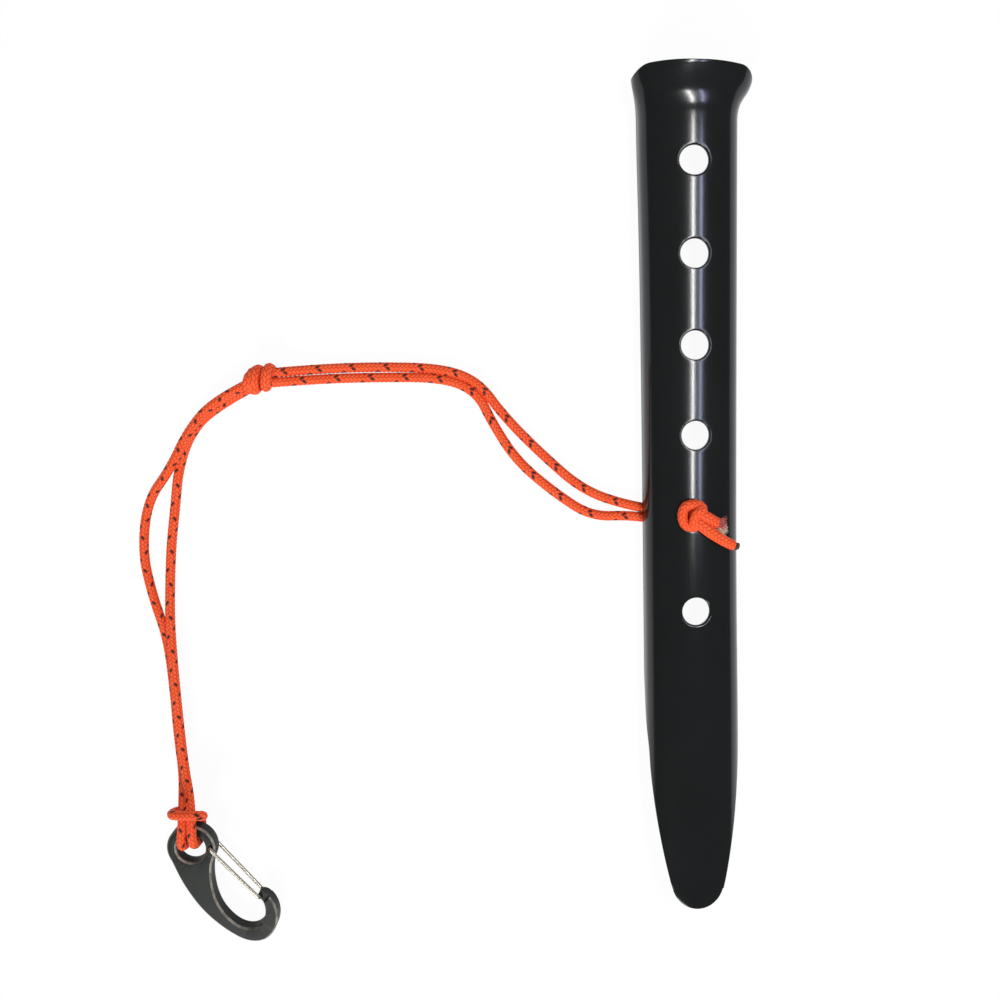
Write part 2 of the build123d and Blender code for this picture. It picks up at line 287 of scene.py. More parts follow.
@dataclass(frozen=True)
class Plait:
    """Sizes of the braided sheath, in millimetres, and how its yarns cross."""

    diameter: float = 3.0
    radius: float = 1.53
    yarns: int = 8
    pitch: float = 10.8
    relief: float = 0.11
    height_at_radius: float = 0.75
    float_length: int = 4
    tracer: int = 3
    points_around: int = 40
    end_opening: float = 0.02

    def height(self, turn: Array, along: Array) -> Array:
        """Height of the yarn on top, from 0 in a groove to 1 on a crest.

        A point's place across both sets of yarns is its turn less or plus its share of a
        pitch, times the number of yarns. The whole parts name the two yarns that cross
        there, and their sum says which one is over. It stands up as a half ellipse across
        itself and as half a sine wave from where it comes up to where it goes down.

        Args:
            turn: Place round the cord in turns.
            along: Distance along the cord in millimetres.

        Returns:
            The height at each place.
        """
        rising = self.yarns * (turn - along / self.pitch)
        falling = self.yarns * (turn + along / self.pitch)
        one, other = np.floor(rising), np.floor(falling)
        half = self.float_length / 2
        over = np.mod(one + other, self.float_length) < half
        reach_one = np.mod(one + falling, self.float_length) / half
        reach_other = np.mod(other + rising, self.float_length) / half - 1
        across_one = 1 - (2 * (rising - one) - 1) ** 2
        across_other = 1 - (2 * (falling - other) - 1) ** 2
        lift_one = np.sqrt(np.clip(across_one, 0, 1)) * np.sin(pi * np.clip(reach_one, 0, 1))
        lift_other = np.sqrt(np.clip(across_other, 0, 1)) * np.sin(pi * np.clip(reach_other, 0, 1))
        return np.where(over, lift_one, lift_other)


PLAIT = Plait()


def carried_sides(path: Array, first: Sequence[float]) -> tuple[Array, Array, Array]:
    """Directions along a path and two across it, carried on without any twist.

    Each side direction is the one before, less its share along the path, at length one.

    Args:
        path: Points of the path.
        first: Rough direction of the first side.

    Returns:
        The path's direction, the side and the third direction at each point.
    """
    forward = unit(np.gradient(path, axis=0))
    side = np.empty_like(path)
    carried = np.asarray(first, float)
    for number, heading in enumerate(forward):
        carried = carried - heading * (carried @ heading)
        carried = carried / np.linalg.norm(carried)
        side[number] = carried
    return forward, side, np.cross(forward, side)


def sheath(
    path: Array,
    half_width: Union[float, Array] = PLAIT.radius,
    half_height: Union[float, Array] = PLAIT.radius,
    lift: Optional[Array] = None,
    start: float = 0.0,
) -> Surface:
    """Plaited tube along a path: an ellipse at each point, raised by the plait's height.

    It is flattened where it rests on the surface, and both its ends close in a low dome.

    Args:
        path: Evenly spaced points, in millimetres.
        half_width: Half the width across the lift direction.
        half_height: Half the height in the lift direction.
        lift: Direction in which the section is its height, or None for carried sides.
        start: Distance along the cord at which the pattern starts, in millimetres.

    Returns:
        The closed surface, with its turns and distances.
    """
    if lift is None:
        forward, side, raised = carried_sides(path, np.cross(path[1] - path[0], OFF_AXIS))
    else:
        forward = unit(np.gradient(path, axis=0))
        toward = np.broadcast_to(np.asarray(lift, float), path.shape)
        raised = unit(toward - forward * np.sum(toward * forward, axis=1, keepdims=True))
        side = np.cross(raised, forward)
    reached = distances_along(path)
    from_end = np.minimum(reached, reached[-1] - reached) / (PLAIT.diameter / 4)
    closing = 1 - (1 - np.clip(from_end, 0, 1)) ** 2
    closing = np.sqrt(np.clip(closing, PLAIT.end_opening, 1))
    width, height = half_width * closing, half_height * closing
    around = PLAIT.points_around
    turn = np.arange(around)[None, :] / around
    along = (reached + start)[:, None]
    bump = PLAIT.relief * (PLAIT.height(turn, along) - PLAIT.height_at_radius)
    angle = FULL_TURN * turn
    across = (width[:, None] + bump) * np.cos(angle)
    above = (height[:, None] + bump) * np.sin(angle)
    ring = path[:, None] + across[..., None] * side[:, None] + above[..., None] * raised[:, None]
    points = np.concatenate([ring.reshape(-1, 3), path[:1], path[-1:]]) * MM
    points[:, 2] = np.maximum(points[:, 2], 0)
    rows = len(path)
    first_ring = np.arange(around)
    faces = [
        grid_faces(rows, around, closed=True),
        fan_faces(rows * around, first_ring[::-1]),
        fan_faces(rows * around + 1, first_ring + (rows - 1) * around),
    ]
    turns = np.concatenate([np.tile(turn[0], rows), [0.5, 0.5]])
    lengths = np.concatenate([np.repeat(along[:, 0], around), along[[0, -1], 0]])
    return Surface(points, faces, turns, lengths / PLAIT.pitch)


def route_points(name: str, route: Sequence[Point], spacing: float) -> Array:
    """Points along the smooth spline that a cord's route controls.

    Args:
        name: Name of the cord.
        route: Control points in metres.
        spacing: Distance between the points, in millimetres.

    Returns:
        Evenly spaced points, in millimetres.
    """
    line = bpy.data.curves.new(name + "_route", "CURVE")
    line.dimensions = "3D"
    line.resolution_u = 64
    spline = line.splines.new("NURBS")
    spline.points.add(len(route) - 1)
    controls = np.concatenate([np.asarray(route, float), np.ones((len(route), 1))], axis=1)
    spline.points.foreach_set("co", controls.astype(np.float32).ravel())
    spline.order_u = 3
    spline.use_endpoint_u = True
    holder = bpy.data.objects.new(name + "_route", line)
    bpy.context.scene.collection.objects.link(holder)
    graph = bpy.context.evaluated_depsgraph_get()
    drawn = bpy.data.meshes.new_from_object(holder.evaluated_get(graph))
    found = np.empty(len(drawn.vertices) * 3, np.float32)
    drawn.vertices.foreach_get("co", found)
    bpy.data.meshes.remove(drawn)
    bpy.data.objects.remove(holder)
    bpy.data.curves.remove(line)
    return evenly_spaced(found.reshape(-1, 3).astype(float) / MM, spacing)


def smooth_path(points: Sequence[Point], spacing: float) -> Array:
    """Evenly spaced points on the cubic curve through a few given ones."""
    places = np.linspace(0, len(points) - 1, CURVE_SAMPLES * len(points))
    return evenly_spaced(SmoothCurve(range(len(points)), points)(places), spacing)


@dataclass(frozen=True)
class Band:
    """Short stretch of cord pressed to an ellipse, in millimetres.

    Its width and height swell by a sine wave along it.
    """

    points: tuple[Point, ...]
    half_width: float
    half_height: float
    lift: Point = UP
    start: float = 0.0
    swell: float = 0.0
    swell_turn: float = 5.0

    def surface(self, path: Array) -> Surface:
        """Its sheath along the smooth path through its points."""
        size = 1.0 + self.swell * np.sin(np.linspace(0, self.swell_turn, len(path)))
        return sheath(path, self.half_width * size, self.half_height * size, self.lift, self.start)


@dataclass(frozen=True)
class Tuft:
    """Loose fibres that fan out of a cut end, in millimetres."""

    heading: Point
    half_width: float
    half_height: float
    count: int
    length: float
    radius: float
    seed: int
    spread_across: float = 0.35
    spread_above: float = 0.3
    wander: float = 0.1
    length_shares: tuple[float, float] = (0.7, 1.1)
    curl: float = 0.3
    sag: float = 0.15
    taper: float = 0.45
    off_axis: Point = (0.1, 0.3, 1.0)
    rows: int = 9
    around: int = 5

    def surface(self, root: Sequence[float]) -> Surface:
        """Fibres as thin tapered tubes.

        A fibre starts at a seeded place in the cut's ellipse. It runs along the heading,
        spreads in proportion to how far from the middle it starts, and curls with the
        square of its length.

        Args:
            root: Middle of the cut.

        Returns:
            All the fibres.
        """
        chance = np.random.default_rng(self.seed)
        ahead = unit(np.asarray(self.heading))
        side = unit(np.cross(UP, ahead))
        raised = np.cross(ahead, side)
        angle = chance.uniform(0, FULL_TURN, self.count)
        reach = np.sqrt(chance.uniform(0, 1, self.count))
        across = (reach * np.cos(angle))[:, None]
        above = (reach * np.sin(angle))[:, None]
        foot = across * self.half_width * side + above * self.half_height * raised
        spread = self.spread_across * across * side + self.spread_above * above * raised
        direction = unit(ahead + spread + chance.normal(0, self.wander, (self.count, 3)))
        length = self.length * chance.uniform(*self.length_shares, self.count)
        curl = chance.normal(0, self.curl, (self.count, 3)) - np.asarray((0.0, 0.0, self.sag))
        part = np.linspace(0, 1, self.rows)[None, :, None]
        line = np.asarray(root) + foot[:, None] + part * (direction * length[:, None])[:, None]
        line = line + part**2 * curl[:, None]
        forward = unit(np.gradient(line, axis=1))
        left = unit(np.cross(forward, np.asarray(self.off_axis)))
        top = np.cross(left, forward)
        turn = FULL_TURN * np.arange(self.around) / self.around
        ring = np.cos(turn)[:, None] * left[:, :, None] - np.sin(turn)[:, None] * top[:, :, None]
        thick = self.radius * (1 - self.taper * part[..., None])
        points = (line[:, :, None] + thick * ring).reshape(-1, 3) * MM
        shift = (np.arange(self.count) * self.rows * self.around)[:, None, None]
        tube = (grid_faces(self.rows, self.around, closed=True)[None] + shift).reshape(-1, 4)
        bottom = np.arange(self.around)[None] + shift[:, 0]
        last = bottom + (self.rows - 1) * self.around
        return Surface(points, [tube, bottom[:, ::-1], last])


@dataclass(frozen=True)
class Bead:
    """Blistered drop of melted cord, in millimetres."""

    centre: Point
    heading: Point
    radii: Point
    broad_swell: float = 0.09
    fine_swell: float = 0.06
    rows: int = 26
    around: int = 36

    def surface(self) -> Surface:
        """Ellipsoid whose radius swells with sines of both its angles.

        Three broad swells go round it, and five fine ones that wind from pole to pole.

        Returns:
            The closed bead.
        """
        ahead = unit(np.asarray(self.heading, float))
        side = unit(np.cross(UP, ahead))
        raised = np.cross(ahead, side)
        tilt = np.linspace(0, pi, self.rows + 2)[:, None]
        turn = FULL_TURN * np.arange(self.around)[None, :] / self.around
        belt = np.sin(tilt) ** 2
        swell = 1 + self.broad_swell * np.sin(3 * turn + 1) * belt * np.sin(2.3 * tilt + 0.5)
        swell = swell + self.fine_swell * np.sin(5 * turn + 4 * tilt) * belt
        first = swell * np.cos(tilt) * self.radii[0]
        second = swell * np.sin(tilt) * np.cos(turn) * self.radii[1]
        third = swell * np.sin(tilt) * np.sin(turn) * self.radii[2]
        grid = first[..., None] * ahead + second[..., None] * side + third[..., None] * raised
        inner = grid[1:-1].reshape(-1, 3)
        points = np.concatenate([inner, grid[0, :1], grid[-1, :1]]) + np.asarray(self.centre)
        first_ring = np.arange(self.around)
        last_ring = first_ring + (self.rows - 1) * self.around
        faces = [
            grid_faces(self.rows, self.around, closed=True)[:, ::-1],
            fan_faces(self.rows * self.around, first_ring),
            fan_faces(self.rows * self.around + 1, last_ring[::-1]),
        ]
        return Surface(points * MM, faces)


def place(
    item: bpy.types.Object, body: Body, slot: Slot, finish: bpy.types.Material, *nodes: str
) -> bpy.types.Object:
    """Dress a piece, put it on its body and let it stand for CAD nodes.

    Args:
        item: The piece.
        body: Body that it moves with.
        slot: Record's slot of its material; not used.
        finish: Material.
        nodes: CAD nodes that it stands for.

    Returns:
        The same piece.
    """
    item.data.materials.clear()
    item.data.materials.append(finish)
    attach(item, body.value)
    if nodes:
        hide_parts(*nodes)
    LOG.info("%s rides on %s", item.name, body.value)
    return item


# Shader maths


Value = Union["Field", float, int]


class Field:
    """One output socket. An expression on it adds the Math nodes that work it out."""

    def __init__(self, tree: bpy.types.NodeTree, socket: bpy.types.NodeSocket) -> None:
        """Keep the socket and the tree it belongs to."""
        self.tree = tree
        self.socket = socket

    def math(self, operation: str, *values: Value) -> "Field":
        """Math node of the given operation.

        Args:
            operation: The node's operation.
            values: Numbers or fields for its sockets, in their order.

        Returns:
            The result as a field.
        """
        node = self.tree.nodes.new("ShaderNodeMath")
        node.operation = operation
        for number, value in enumerate(values):
            feed(self.tree, node.inputs[number], value)
        return Field(self.tree, node.outputs[0])

    def __add__(self, other: Value) -> "Field":
        """Sum."""
        return self.math("ADD", self, other)

    __radd__ = __add__

    def __sub__(self, other: Value) -> "Field":
        """Difference."""
        return self.math("SUBTRACT", self, other)

    def __rsub__(self, other: Value) -> "Field":
        """Difference from a number."""
        return self.math("SUBTRACT", other, self)

    def __mul__(self, other: Value) -> "Field":
        """Product."""
        return self.math("MULTIPLY", self, other)

    __rmul__ = __mul__

    def __truediv__(self, other: Value) -> "Field":
        """Quotient."""
        return self.math("DIVIDE", self, other)

    def __rtruediv__(self, other: Value) -> "Field":
        """Quotient of a number by it."""
        return self.math("DIVIDE", other, self)

    def __mod__(self, other: Value) -> "Field":
        """Remainder of a floored division."""
        return self.math("FLOORED_MODULO", self, other)

    def __rmod__(self, other: Value) -> "Field":
        """Remainder of a number's floored division by it."""
        return self.math("FLOORED_MODULO", other, self)

    def __lt__(self, other: Value) -> "Field":
        """1 where it is less, 0 elsewhere."""
        return self.math("LESS_THAN", self, other)

    def __gt__(self, other: Value) -> "Field":
        """1 where it is more, 0 elsewhere: the reflected form of less."""
        return self.math("GREATER_THAN", self, other)

    def floor(self) -> "Field":
        """Whole part."""
        return self.math("FLOOR", self)

    def sine(self) -> "Field":
        """Sine."""
        return self.math("SINE", self)

    def distance(self, other: Value) -> "Field":
        """Absolute difference."""
        return self.math("ABSOLUTE", self - other)

    def clipped(self) -> "Field":
        """The value kept between 0 and 1."""
        return self.math("MINIMUM", self.math("MAXIMUM", self, 0.0), 1.0)


def feed(tree: bpy.types.NodeTree, socket: bpy.types.NodeSocket, value: Any) -> None:
    """Link a field to a socket, or set the socket to a plain value.

    Args:
        tree: Node tree of the socket.
        socket: Input to feed.
        value: Field, number, vector or colour. A colour gets an alpha of 1.
    """
    if isinstance(value, Field):
        tree.links.new(value.socket, socket)
    elif isinstance(value, (tuple, list)) and len(value) == 3 and len(socket.default_value) == 4:
        socket.default_value = (*value, 1.0)
    else:
        socket.default_value = value


class Finish:
    """Node tree of one material, built from expressions."""

    def __init__(self, name: str, **constants: Any) -> None:
        """Make the material and its main shader, with the settings that never vary.

        Args:
            name: Name of the material.
            constants: Shader's sockets by name, underscores standing for spaces.
        """
        self.material = bpy.data.materials.new(name)
        self.material.use_nodes = True
        self.tree = self.material.node_tree
        self.tree.nodes.clear()
        self.output = self.tree.nodes.new("ShaderNodeOutputMaterial")
        self.shader = self.tree.nodes.new("ShaderNodeBsdfPrincipled")
        self.tree.links.new(self.shader.outputs[0], self.output.inputs[0])
        self.set(**constants)

    def set(self, **values: Any) -> None:
        """Feed the main shader's sockets, named with underscores for spaces."""
        for name, value in values.items():
            feed(self.tree, self.shader.inputs[name.replace("_", " ")], value)

    def node(
        self,
        kind: str,
        settings: Optional[dict[str, Any]] = None,
        inputs: Optional[dict[Union[str, int], Any]] = None,
        out: Union[str, int] = 0,
    ) -> Field:
        """Any node: its settings are made first, then its sockets are fed.

        Args:
            kind: Node's type.
            settings: Node's own settings by name.
            inputs: Values or fields by socket name or number.
            out: Name or number of the output to give back.

        Returns:
            The output as a field.
        """
        node = self.tree.nodes.new(kind)
        for name, value in (settings or {}).items():
            setattr(node, name, value)
        for key, value in (inputs or {}).items():
            feed(self.tree, node.inputs[key], value)
        return Field(self.tree, node.outputs[out])

    def blend(self, share: Value, low: Any, high: Any) -> Field:
        """Colour that goes from low to high as the share goes from 0 to 1."""
        return self.node("ShaderNodeMix", {"data_type": "RGBA"}, {0: share, 6: low, 7: high}, 2)

    def coordinates(self) -> Field:
        """Object coordinates, in metres."""
        return self.node("ShaderNodeTexCoord", out="Object")

    def noise(self, where: Field, scale: float, detail: float = 3.0) -> Field:
        """Cloudy noise from 0 to 1.

        Args:
            where: Coordinates.
            scale: Clouds to a metre.
            detail: Number of finer layers on top.

        Returns:
            The noise.
        """
        values = {"Vector": where, "Scale": scale, "Detail": detail, "Roughness": 0.55}
        return self.node("ShaderNodeTexNoise", None, values)

    def bump(self, height: Field, strength: float, depth: float) -> Field:
        """Normal bent by a height whose full range stands for a depth in metres."""
        values = {"Strength": strength, "Distance": depth, "Height": height}
        return self.node("ShaderNodeBump", None, values)


@dataclass(frozen=True)
class ShellFinish:
    """Deep black anodised aluminium with a soft gloss, drawing lines and a little dust."""

    black: Point = (0.0018, 0.0027, 0.0028)
    worn: Point = (0.012, 0.0135, 0.014)
    roughness: float = 0.12
    coat: float = 0.06
    cloud_scale: float = 45.0
    grain_scale: float = 2600.0
    grain_stretch: Point = (1.0, 0.04, 1.0)
    dust_scale: float = 900.0
    dust_from: float = 0.62
    dust_gain: float = 1.6
    bump: float = 0.02
    bump_depth: float = 0.0001

    def material(self) -> bpy.types.Material:
        """Build the material.

        Returns:
            The finished material.
        """
        finish = Finish("shell_black", Specular_IOR_Level=0.34, Coat_Roughness=0.06)
        place = finish.coordinates()
        lines = finish.node(
            "ShaderNodeMapping", None, {"Vector": place, "Scale": self.grain_stretch}
        )
        clouds = finish.noise(place, self.cloud_scale, 4.0)
        grain = finish.noise(lines, self.grain_scale, 2.0)
        dust = finish.noise(place, self.dust_scale, 2.0) - self.dust_from
        dust = dust.clipped() * self.dust_gain
        finish.set(
            Base_Color=finish.blend(clouds * 0.3 + dust * 0.3, self.black, self.worn),
            Roughness=self.roughness + clouds * 0.03 + grain * 0.04,
            Coat_Weight=self.coat - dust * 0.1,
            Normal=finish.bump(grain * 0.6 + clouds * 0.4, self.bump, self.bump_depth),
        )
        return finish.material


@dataclass(frozen=True)
class CordFinish:
    """Bright orange plaited sheath with a dark tracer yarn in each of its two sets."""

    name: str = "cord_orange"
    orange: Point = (0.92, 0.098, 0.017)
    pale: Point = (0.98, 0.170, 0.055)
    # painted shade: dark orange where the yarns dip into the grooves
    groove_shade: Point = (0.50, 0.027, 0.005)
    tracer: Point = (0.024, 0.015, 0.013)
    roughness: float = 0.62
    with_tracer: bool = True
    threads: float = 19.0
    fuzz_scale: float = 5200.0
    cloud_scale: float = 260.0
    bump: float = 0.55
    bump_depth: float = 0.00012

    def material(self) -> bpy.types.Material:
        """Build the material on the sheath's UV: turns across, pitches along.

        The yarns are found as in the plait's height. The colour goes down to a painted groove
        shade with the yarn's arch, and fine threads run along each yarn with a little painted
        shade between them.

        Returns:
            The finished material.
        """
        finish = Finish(self.name, Sheen_Weight=0.04, Sheen_Roughness=0.5, Specular_IOR_Level=0.24)
        place = finish.coordinates()
        sheet = finish.node("ShaderNodeUVMap", {"uv_map": "Sheath"})
        turn, along = (
            finish.node("ShaderNodeSeparateXYZ", None, {0: sheet}, out=number) for number in (0, 1)
        )
        rising = PLAIT.yarns * (turn - along)
        falling = PLAIT.yarns * (turn + along)
        one, other = rising.floor(), falling.floor()
        half = PLAIT.float_length / 2
        over = ((one + other) % PLAIT.float_length) < half
        under = 1.0 - over
        reach_one = ((one + falling) % PLAIT.float_length) / half
        reach_other = ((other + rising) % PLAIT.float_length) / half - 1.0
        across_one = (rising - one) * 2.0 - 1.0
        across_other = (falling - other) * 2.0 - 1.0
        across = over * across_one + under * across_other
        reach = over * reach_one + under * reach_other
        arch = (1.0 - across * across).clipped() * (reach.clipped() * pi).sine()
        threads = (across * self.threads).sine() * 0.5 + 0.5
        fuzz = finish.noise(place, self.fuzz_scale, 2.0)
        clouds = finish.noise(place, self.cloud_scale, 2.0)
        worn = finish.blend((clouds * 1.4 - 0.35).clipped() * 0.7, self.orange, self.pale)
        # painted shade: darker towards the grooves between yarns and, a little, between the
        # threads
        raised = (arch * 2.2).clipped() * (0.86 + threads * 0.14)
        colour = finish.blend(raised, self.groove_shade, worn)
        if self.with_tracer:
            shown = over * self._is_tracer(one) + under * self._is_tracer(other)
            shown = shown * (arch * 3.0 - 0.4).clipped()
            colour = finish.blend(shown, colour, self.tracer)
        height = arch * 0.7 + threads * 0.12 + fuzz * 0.22
        finish.set(
            Base_Color=colour,
            Roughness=self.roughness + fuzz * 0.15,
            Normal=finish.bump(height, self.bump, self.bump_depth),
        )
        return finish.material

    @staticmethod
    def _is_tracer(yarn: Field) -> Field:
        """1 on the tracer yarn of a set, 0 on its other yarns."""
        return (yarn % PLAIT.yarns).distance(PLAIT.tracer) < 0.5


@dataclass(frozen=True)
class FibreFinish:
    """Loose filaments of the cord's core, or fibres of its cut sheath."""

    name: str
    light: Point
    dark: Point
    streak_scale: float = 3200.0
    bump: float = 0.4
    bump_depth: float = 0.0001

    def material(self) -> bpy.types.Material:
        """Build the material.

        Returns:
            The finished material.
        """
        finish = Finish(self.name, Sheen_Weight=0.3, Roughness=0.6)
        streaks = finish.noise(finish.coordinates(), self.streak_scale)
        finish.set(
            Base_Color=finish.blend((streaks * 1.8 - 0.4).clipped(), self.dark, self.light),
            Normal=finish.bump(streaks, self.bump, self.bump_depth),
        )
        return finish.material


@dataclass(frozen=True)
class MeltedFinish:
    """Cord end sealed with a flame: black, glassy and blistered."""

    black: Point = (0.005, 0.004, 0.004)
    scorched: Point = (0.05, 0.010, 0.005)
    blister_scale: float = 1500.0
    bump: float = 0.6
    bump_depth: float = 0.0003

    def material(self) -> bpy.types.Material:
        """Build the material.

        Returns:
            The finished material.
        """
        finish = Finish("cord_melted", Coat_Weight=0.15, Coat_Roughness=0.1)
        blisters = finish.noise(finish.coordinates(), self.blister_scale)
        finish.set(
            Base_Color=finish.blend((blisters * 2.0 - 0.9).clipped(), self.black, self.scorched),
            Roughness=0.25 + blisters * 0.25,
            Normal=finish.bump(blisters, self.bump, self.bump_depth),
        )
        return finish.material


@dataclass(frozen=True)
class CarabinerFinish:
    """Dark grey hard-anodised aluminium with a satin sheen, worn paler on its edges, with a
    painted highlight on the bevels that face +X.
    """

    grey: Point = (0.015, 0.0175, 0.0155)
    warm: Point = (0.026, 0.026, 0.0225)
    # pale beige of worn bevels, which is also a painted highlight on the bevels facing +X
    wear_and_highlight: Point = (0.34, 0.31, 0.26)
    roughness: float = 0.36
    cloud_scale: float = 160.0
    grain_scale: float = 7000.0
    patch_scale: float = 420.0
    bump: float = 0.12
    bump_depth: float = 0.0001

    def material(self) -> bpy.types.Material:
        """Build the material.

        Returns:
            The finished material.
        """
        finish = Finish("carabiner_grey", Metallic=0.1, Specular_IOR_Level=0.15)
        place = finish.coordinates()
        clouds = finish.noise(place, self.cloud_scale, 4.0)
        grain = finish.noise(place, self.grain_scale, 2.0)
        patches = finish.noise(place, self.patch_scale)
        edge = finish.node("ShaderNodeAttribute", {"attribute_name": "worn_edge"}, out="Fac")
        body = finish.blend((clouds * 1.5 - 0.4).clipped() * 0.5, self.grey, self.warm)
        # edge mask: partly real wear, partly a painted highlight on bevels that face the strip
        # lamps' side
        worn = edge * (patches * 2.2 - 0.35).clipped()
        finish.set(
            Base_Color=finish.blend(worn, body, self.wear_and_highlight),
            Roughness=self.roughness + grain * 0.12,
            Normal=finish.bump(grain, self.bump, self.bump_depth),
        )
        return finish.material


@dataclass(frozen=True)
class SteelFinish:
    """Bright spring wire with warm reflections and faint drawing marks."""

    bright: Point = (0.46, 0.43, 0.35)
    dull: Point = (0.30, 0.28, 0.22)
    mark_scale: float = 900.0
    bump: float = 0.04
    bump_depth: float = 0.0001

    def material(self) -> bpy.types.Material:
        """Build the material.

        Returns:
            The finished material.
        """
        finish = Finish("gate_steel", Metallic=1.0)
        marks = finish.noise(finish.coordinates(), self.mark_scale, 4.0)
        finish.set(
            Base_Color=finish.blend(marks, self.dull, self.bright),
            Roughness=0.2 + marks * 0.18,
            Normal=finish.bump(marks, self.bump, self.bump_depth),
        )
        return finish.material


@dataclass(frozen=True)
class FloorFinish:
    """Pale studio paper that the camera sees as white, with the object's soft shadow."""

    paper: Point = (0.92, 0.92, 0.92)
    fibre: Point = (0.95, 0.95, 0.95)
    fibre_scale: float = 300.0
    glow_share: float = 0.94
    mirrored_share: float = 0.3

    def material(self) -> bpy.types.Material:
        """Build the material: part of what the camera sees is plain white light.

        Returns:
            The finished material.
        """
        finish = Finish("floor_white", Specular_IOR_Level=0.1)
        fibres = finish.noise(finish.coordinates(), self.fibre_scale)
        finish.set(
            Base_Color=finish.blend(fibres, self.paper, self.fibre),
            Roughness=0.8 + fibres * 0.1,
        )
        seen, mirrored, through = (
            finish.node("ShaderNodeLightPath", out=name)
            for name in ("Is Camera Ray", "Is Glossy Ray", "Is Transmission Ray")
        )
        shown = (seen + mirrored * self.mirrored_share + through).clipped()
        paper = Field(finish.tree, finish.shader.outputs[0])
        white = finish.node("ShaderNodeEmission", None, {"Strength": 1.0})
        mixed = finish.node(
            "ShaderNodeMixShader", None, {0: shown * self.glow_share, 1: paper, 2: white}
        )
        finish.tree.links.new(mixed.socket, finish.output.inputs[0])
        return finish.material


# Camera, light and floor


@dataclass(frozen=True)
class Lamp:
    """Rectangular lamp at a spot, facing a target, in millimetres, degrees and watts."""

    name: str
    spot: Point
    target: Point
    size: tuple[float, float]
    power: float
    colour: Point = WHITE
    turned: float = 0.0

    def build(self) -> None:
        """Make the lamp, facing its target, its long side turned away from the Y axis."""
        data = bpy.data.lights.new(self.name, "AREA")
        data.shape = "RECTANGLE"
        data.size, data.size_y = (side * MM for side in self.size)
        data.energy = self.power
        data.color = self.colour
        lamp = bpy.data.objects.new(self.name, data)
        bpy.context.scene.collection.objects.link(lamp)
        back = unit(np.subtract(self.spot, self.target))
        angle = radians(self.turned)
        side = unit(np.cross((sin(angle), cos(angle), 0.0), back))
        matrix = np.eye(4)
        matrix[:3, :3] = np.stack([side, np.cross(back, side), back], axis=1)
        matrix[:3, 3] = np.asarray(self.spot) * MM
        lamp.matrix_world = Matrix(matrix.tolist())


@dataclass
class Studio:
    """Camera at the picture's viewpoint, soft lamps and a white floor."""

    camera_place: Point = (-37.215, 29.768, 310.0)
    camera_turns: Point = (-5.4017, 4.0, -0.87825)
    lens: float = 35.5656
    sensor: float = 36.0
    sky_horizon: float = 0.26
    sky_overhead: float = 0.31
    sky_from: float = 0.1
    sky_to: float = 0.7
    lamps: tuple[Lamp, ...] = (
        Lamp("soft_below", (-500.0, -1500.0, 1100.0), (-60.0, -20.0, 0.0), (800.0, 500.0), 26.0),
        Lamp(
            "strip_white", (172.0, 103.0, 614.0), (0.5, 50.0, 14.0), (21.0, 353.0), 2.0, turned=6.5
        ),
        Lamp(
            "strip_blue", (292.0, 103.0, 614.0), (2.0, 50.0, 14.0), (27.0, 353.0), 0.85,
            (0.62, 0.68, 1.0), 6.5,
        ),
    )
    floor_half: float = 2500.0
    floor_cells: int = 40
    floor_drop: float = 0.02
    floor_swell: float = 0.03

    def build_camera(self) -> None:
        """Make the camera, make it the scene's own and show colours as they are."""
        bpy.context.scene.view_settings.view_transform = "Standard"
        data = bpy.data.cameras.new("camera")
        data.lens = self.lens
        data.sensor_width = self.sensor
        data.clip_start = 0.01
        data.clip_end = 20.0
        camera = bpy.data.objects.new("camera", data)
        bpy.context.scene.collection.objects.link(camera)
        turn_x, turn_y, turn_z = (
            Matrix.Rotation(radians(angle), 4, axis)
            for angle, axis in zip(self.camera_turns, "XYZ")
        )
        shift = Matrix.Translation([value * MM for value in self.camera_place])
        camera.matrix_world = shift @ turn_x @ turn_y @ turn_z
        bpy.context.scene.camera = camera

    def build_light(self) -> None:
        """Pale sky a little brighter overhead, which the camera sees as white, and lamps."""
        world = bpy.data.worlds.new("sky")
        world.use_nodes = True
        bpy.context.scene.world = world
        tree = world.node_tree
        sky = tree.nodes["Background"]
        sky.inputs["Color"].default_value = (*WHITE, 1.0)
        heading = tree.nodes.new("ShaderNodeTexCoord")
        parts = tree.nodes.new("ShaderNodeSeparateXYZ")
        tree.links.new(heading.outputs["Generated"], parts.inputs[0])
        height = Field(tree, parts.outputs["Z"])
        overhead = ((height - self.sky_from) / (self.sky_to - self.sky_from)).clipped()
        strength = self.sky_horizon + overhead * (self.sky_overhead - self.sky_horizon)
        seen = Field(tree, tree.nodes.new("ShaderNodeLightPath").outputs["Is Camera Ray"])
        feed(tree, sky.inputs["Strength"], strength + seen * (1.0 - strength))
        for lamp in self.lamps:
            lamp.build()

    def build_floor(self) -> None:
        """Wide floor just below the part.

        It lies a small drop lower, and a swell times one minus the cosine of each of its
        two places lower still, which is 0.14 mm at most.
        """
        ticks = np.linspace(-self.floor_half, self.floor_half, self.floor_cells + 1) * MM
        x, y = np.meshgrid(ticks, ticks)
        swell = self.floor_swell * (1 - np.cos(x * pi)) * (1 - np.cos(y * pi))
        points = np.stack([x, y, -(self.floor_drop + swell) * MM], axis=-1).reshape(-1, 3)
        faces = grid_faces(self.floor_cells + 1, self.floor_cells + 1)
        floor = Surface(points, [faces]).as_object("floor")
        floor.data.materials.append(FloorFinish().material())


# The cord


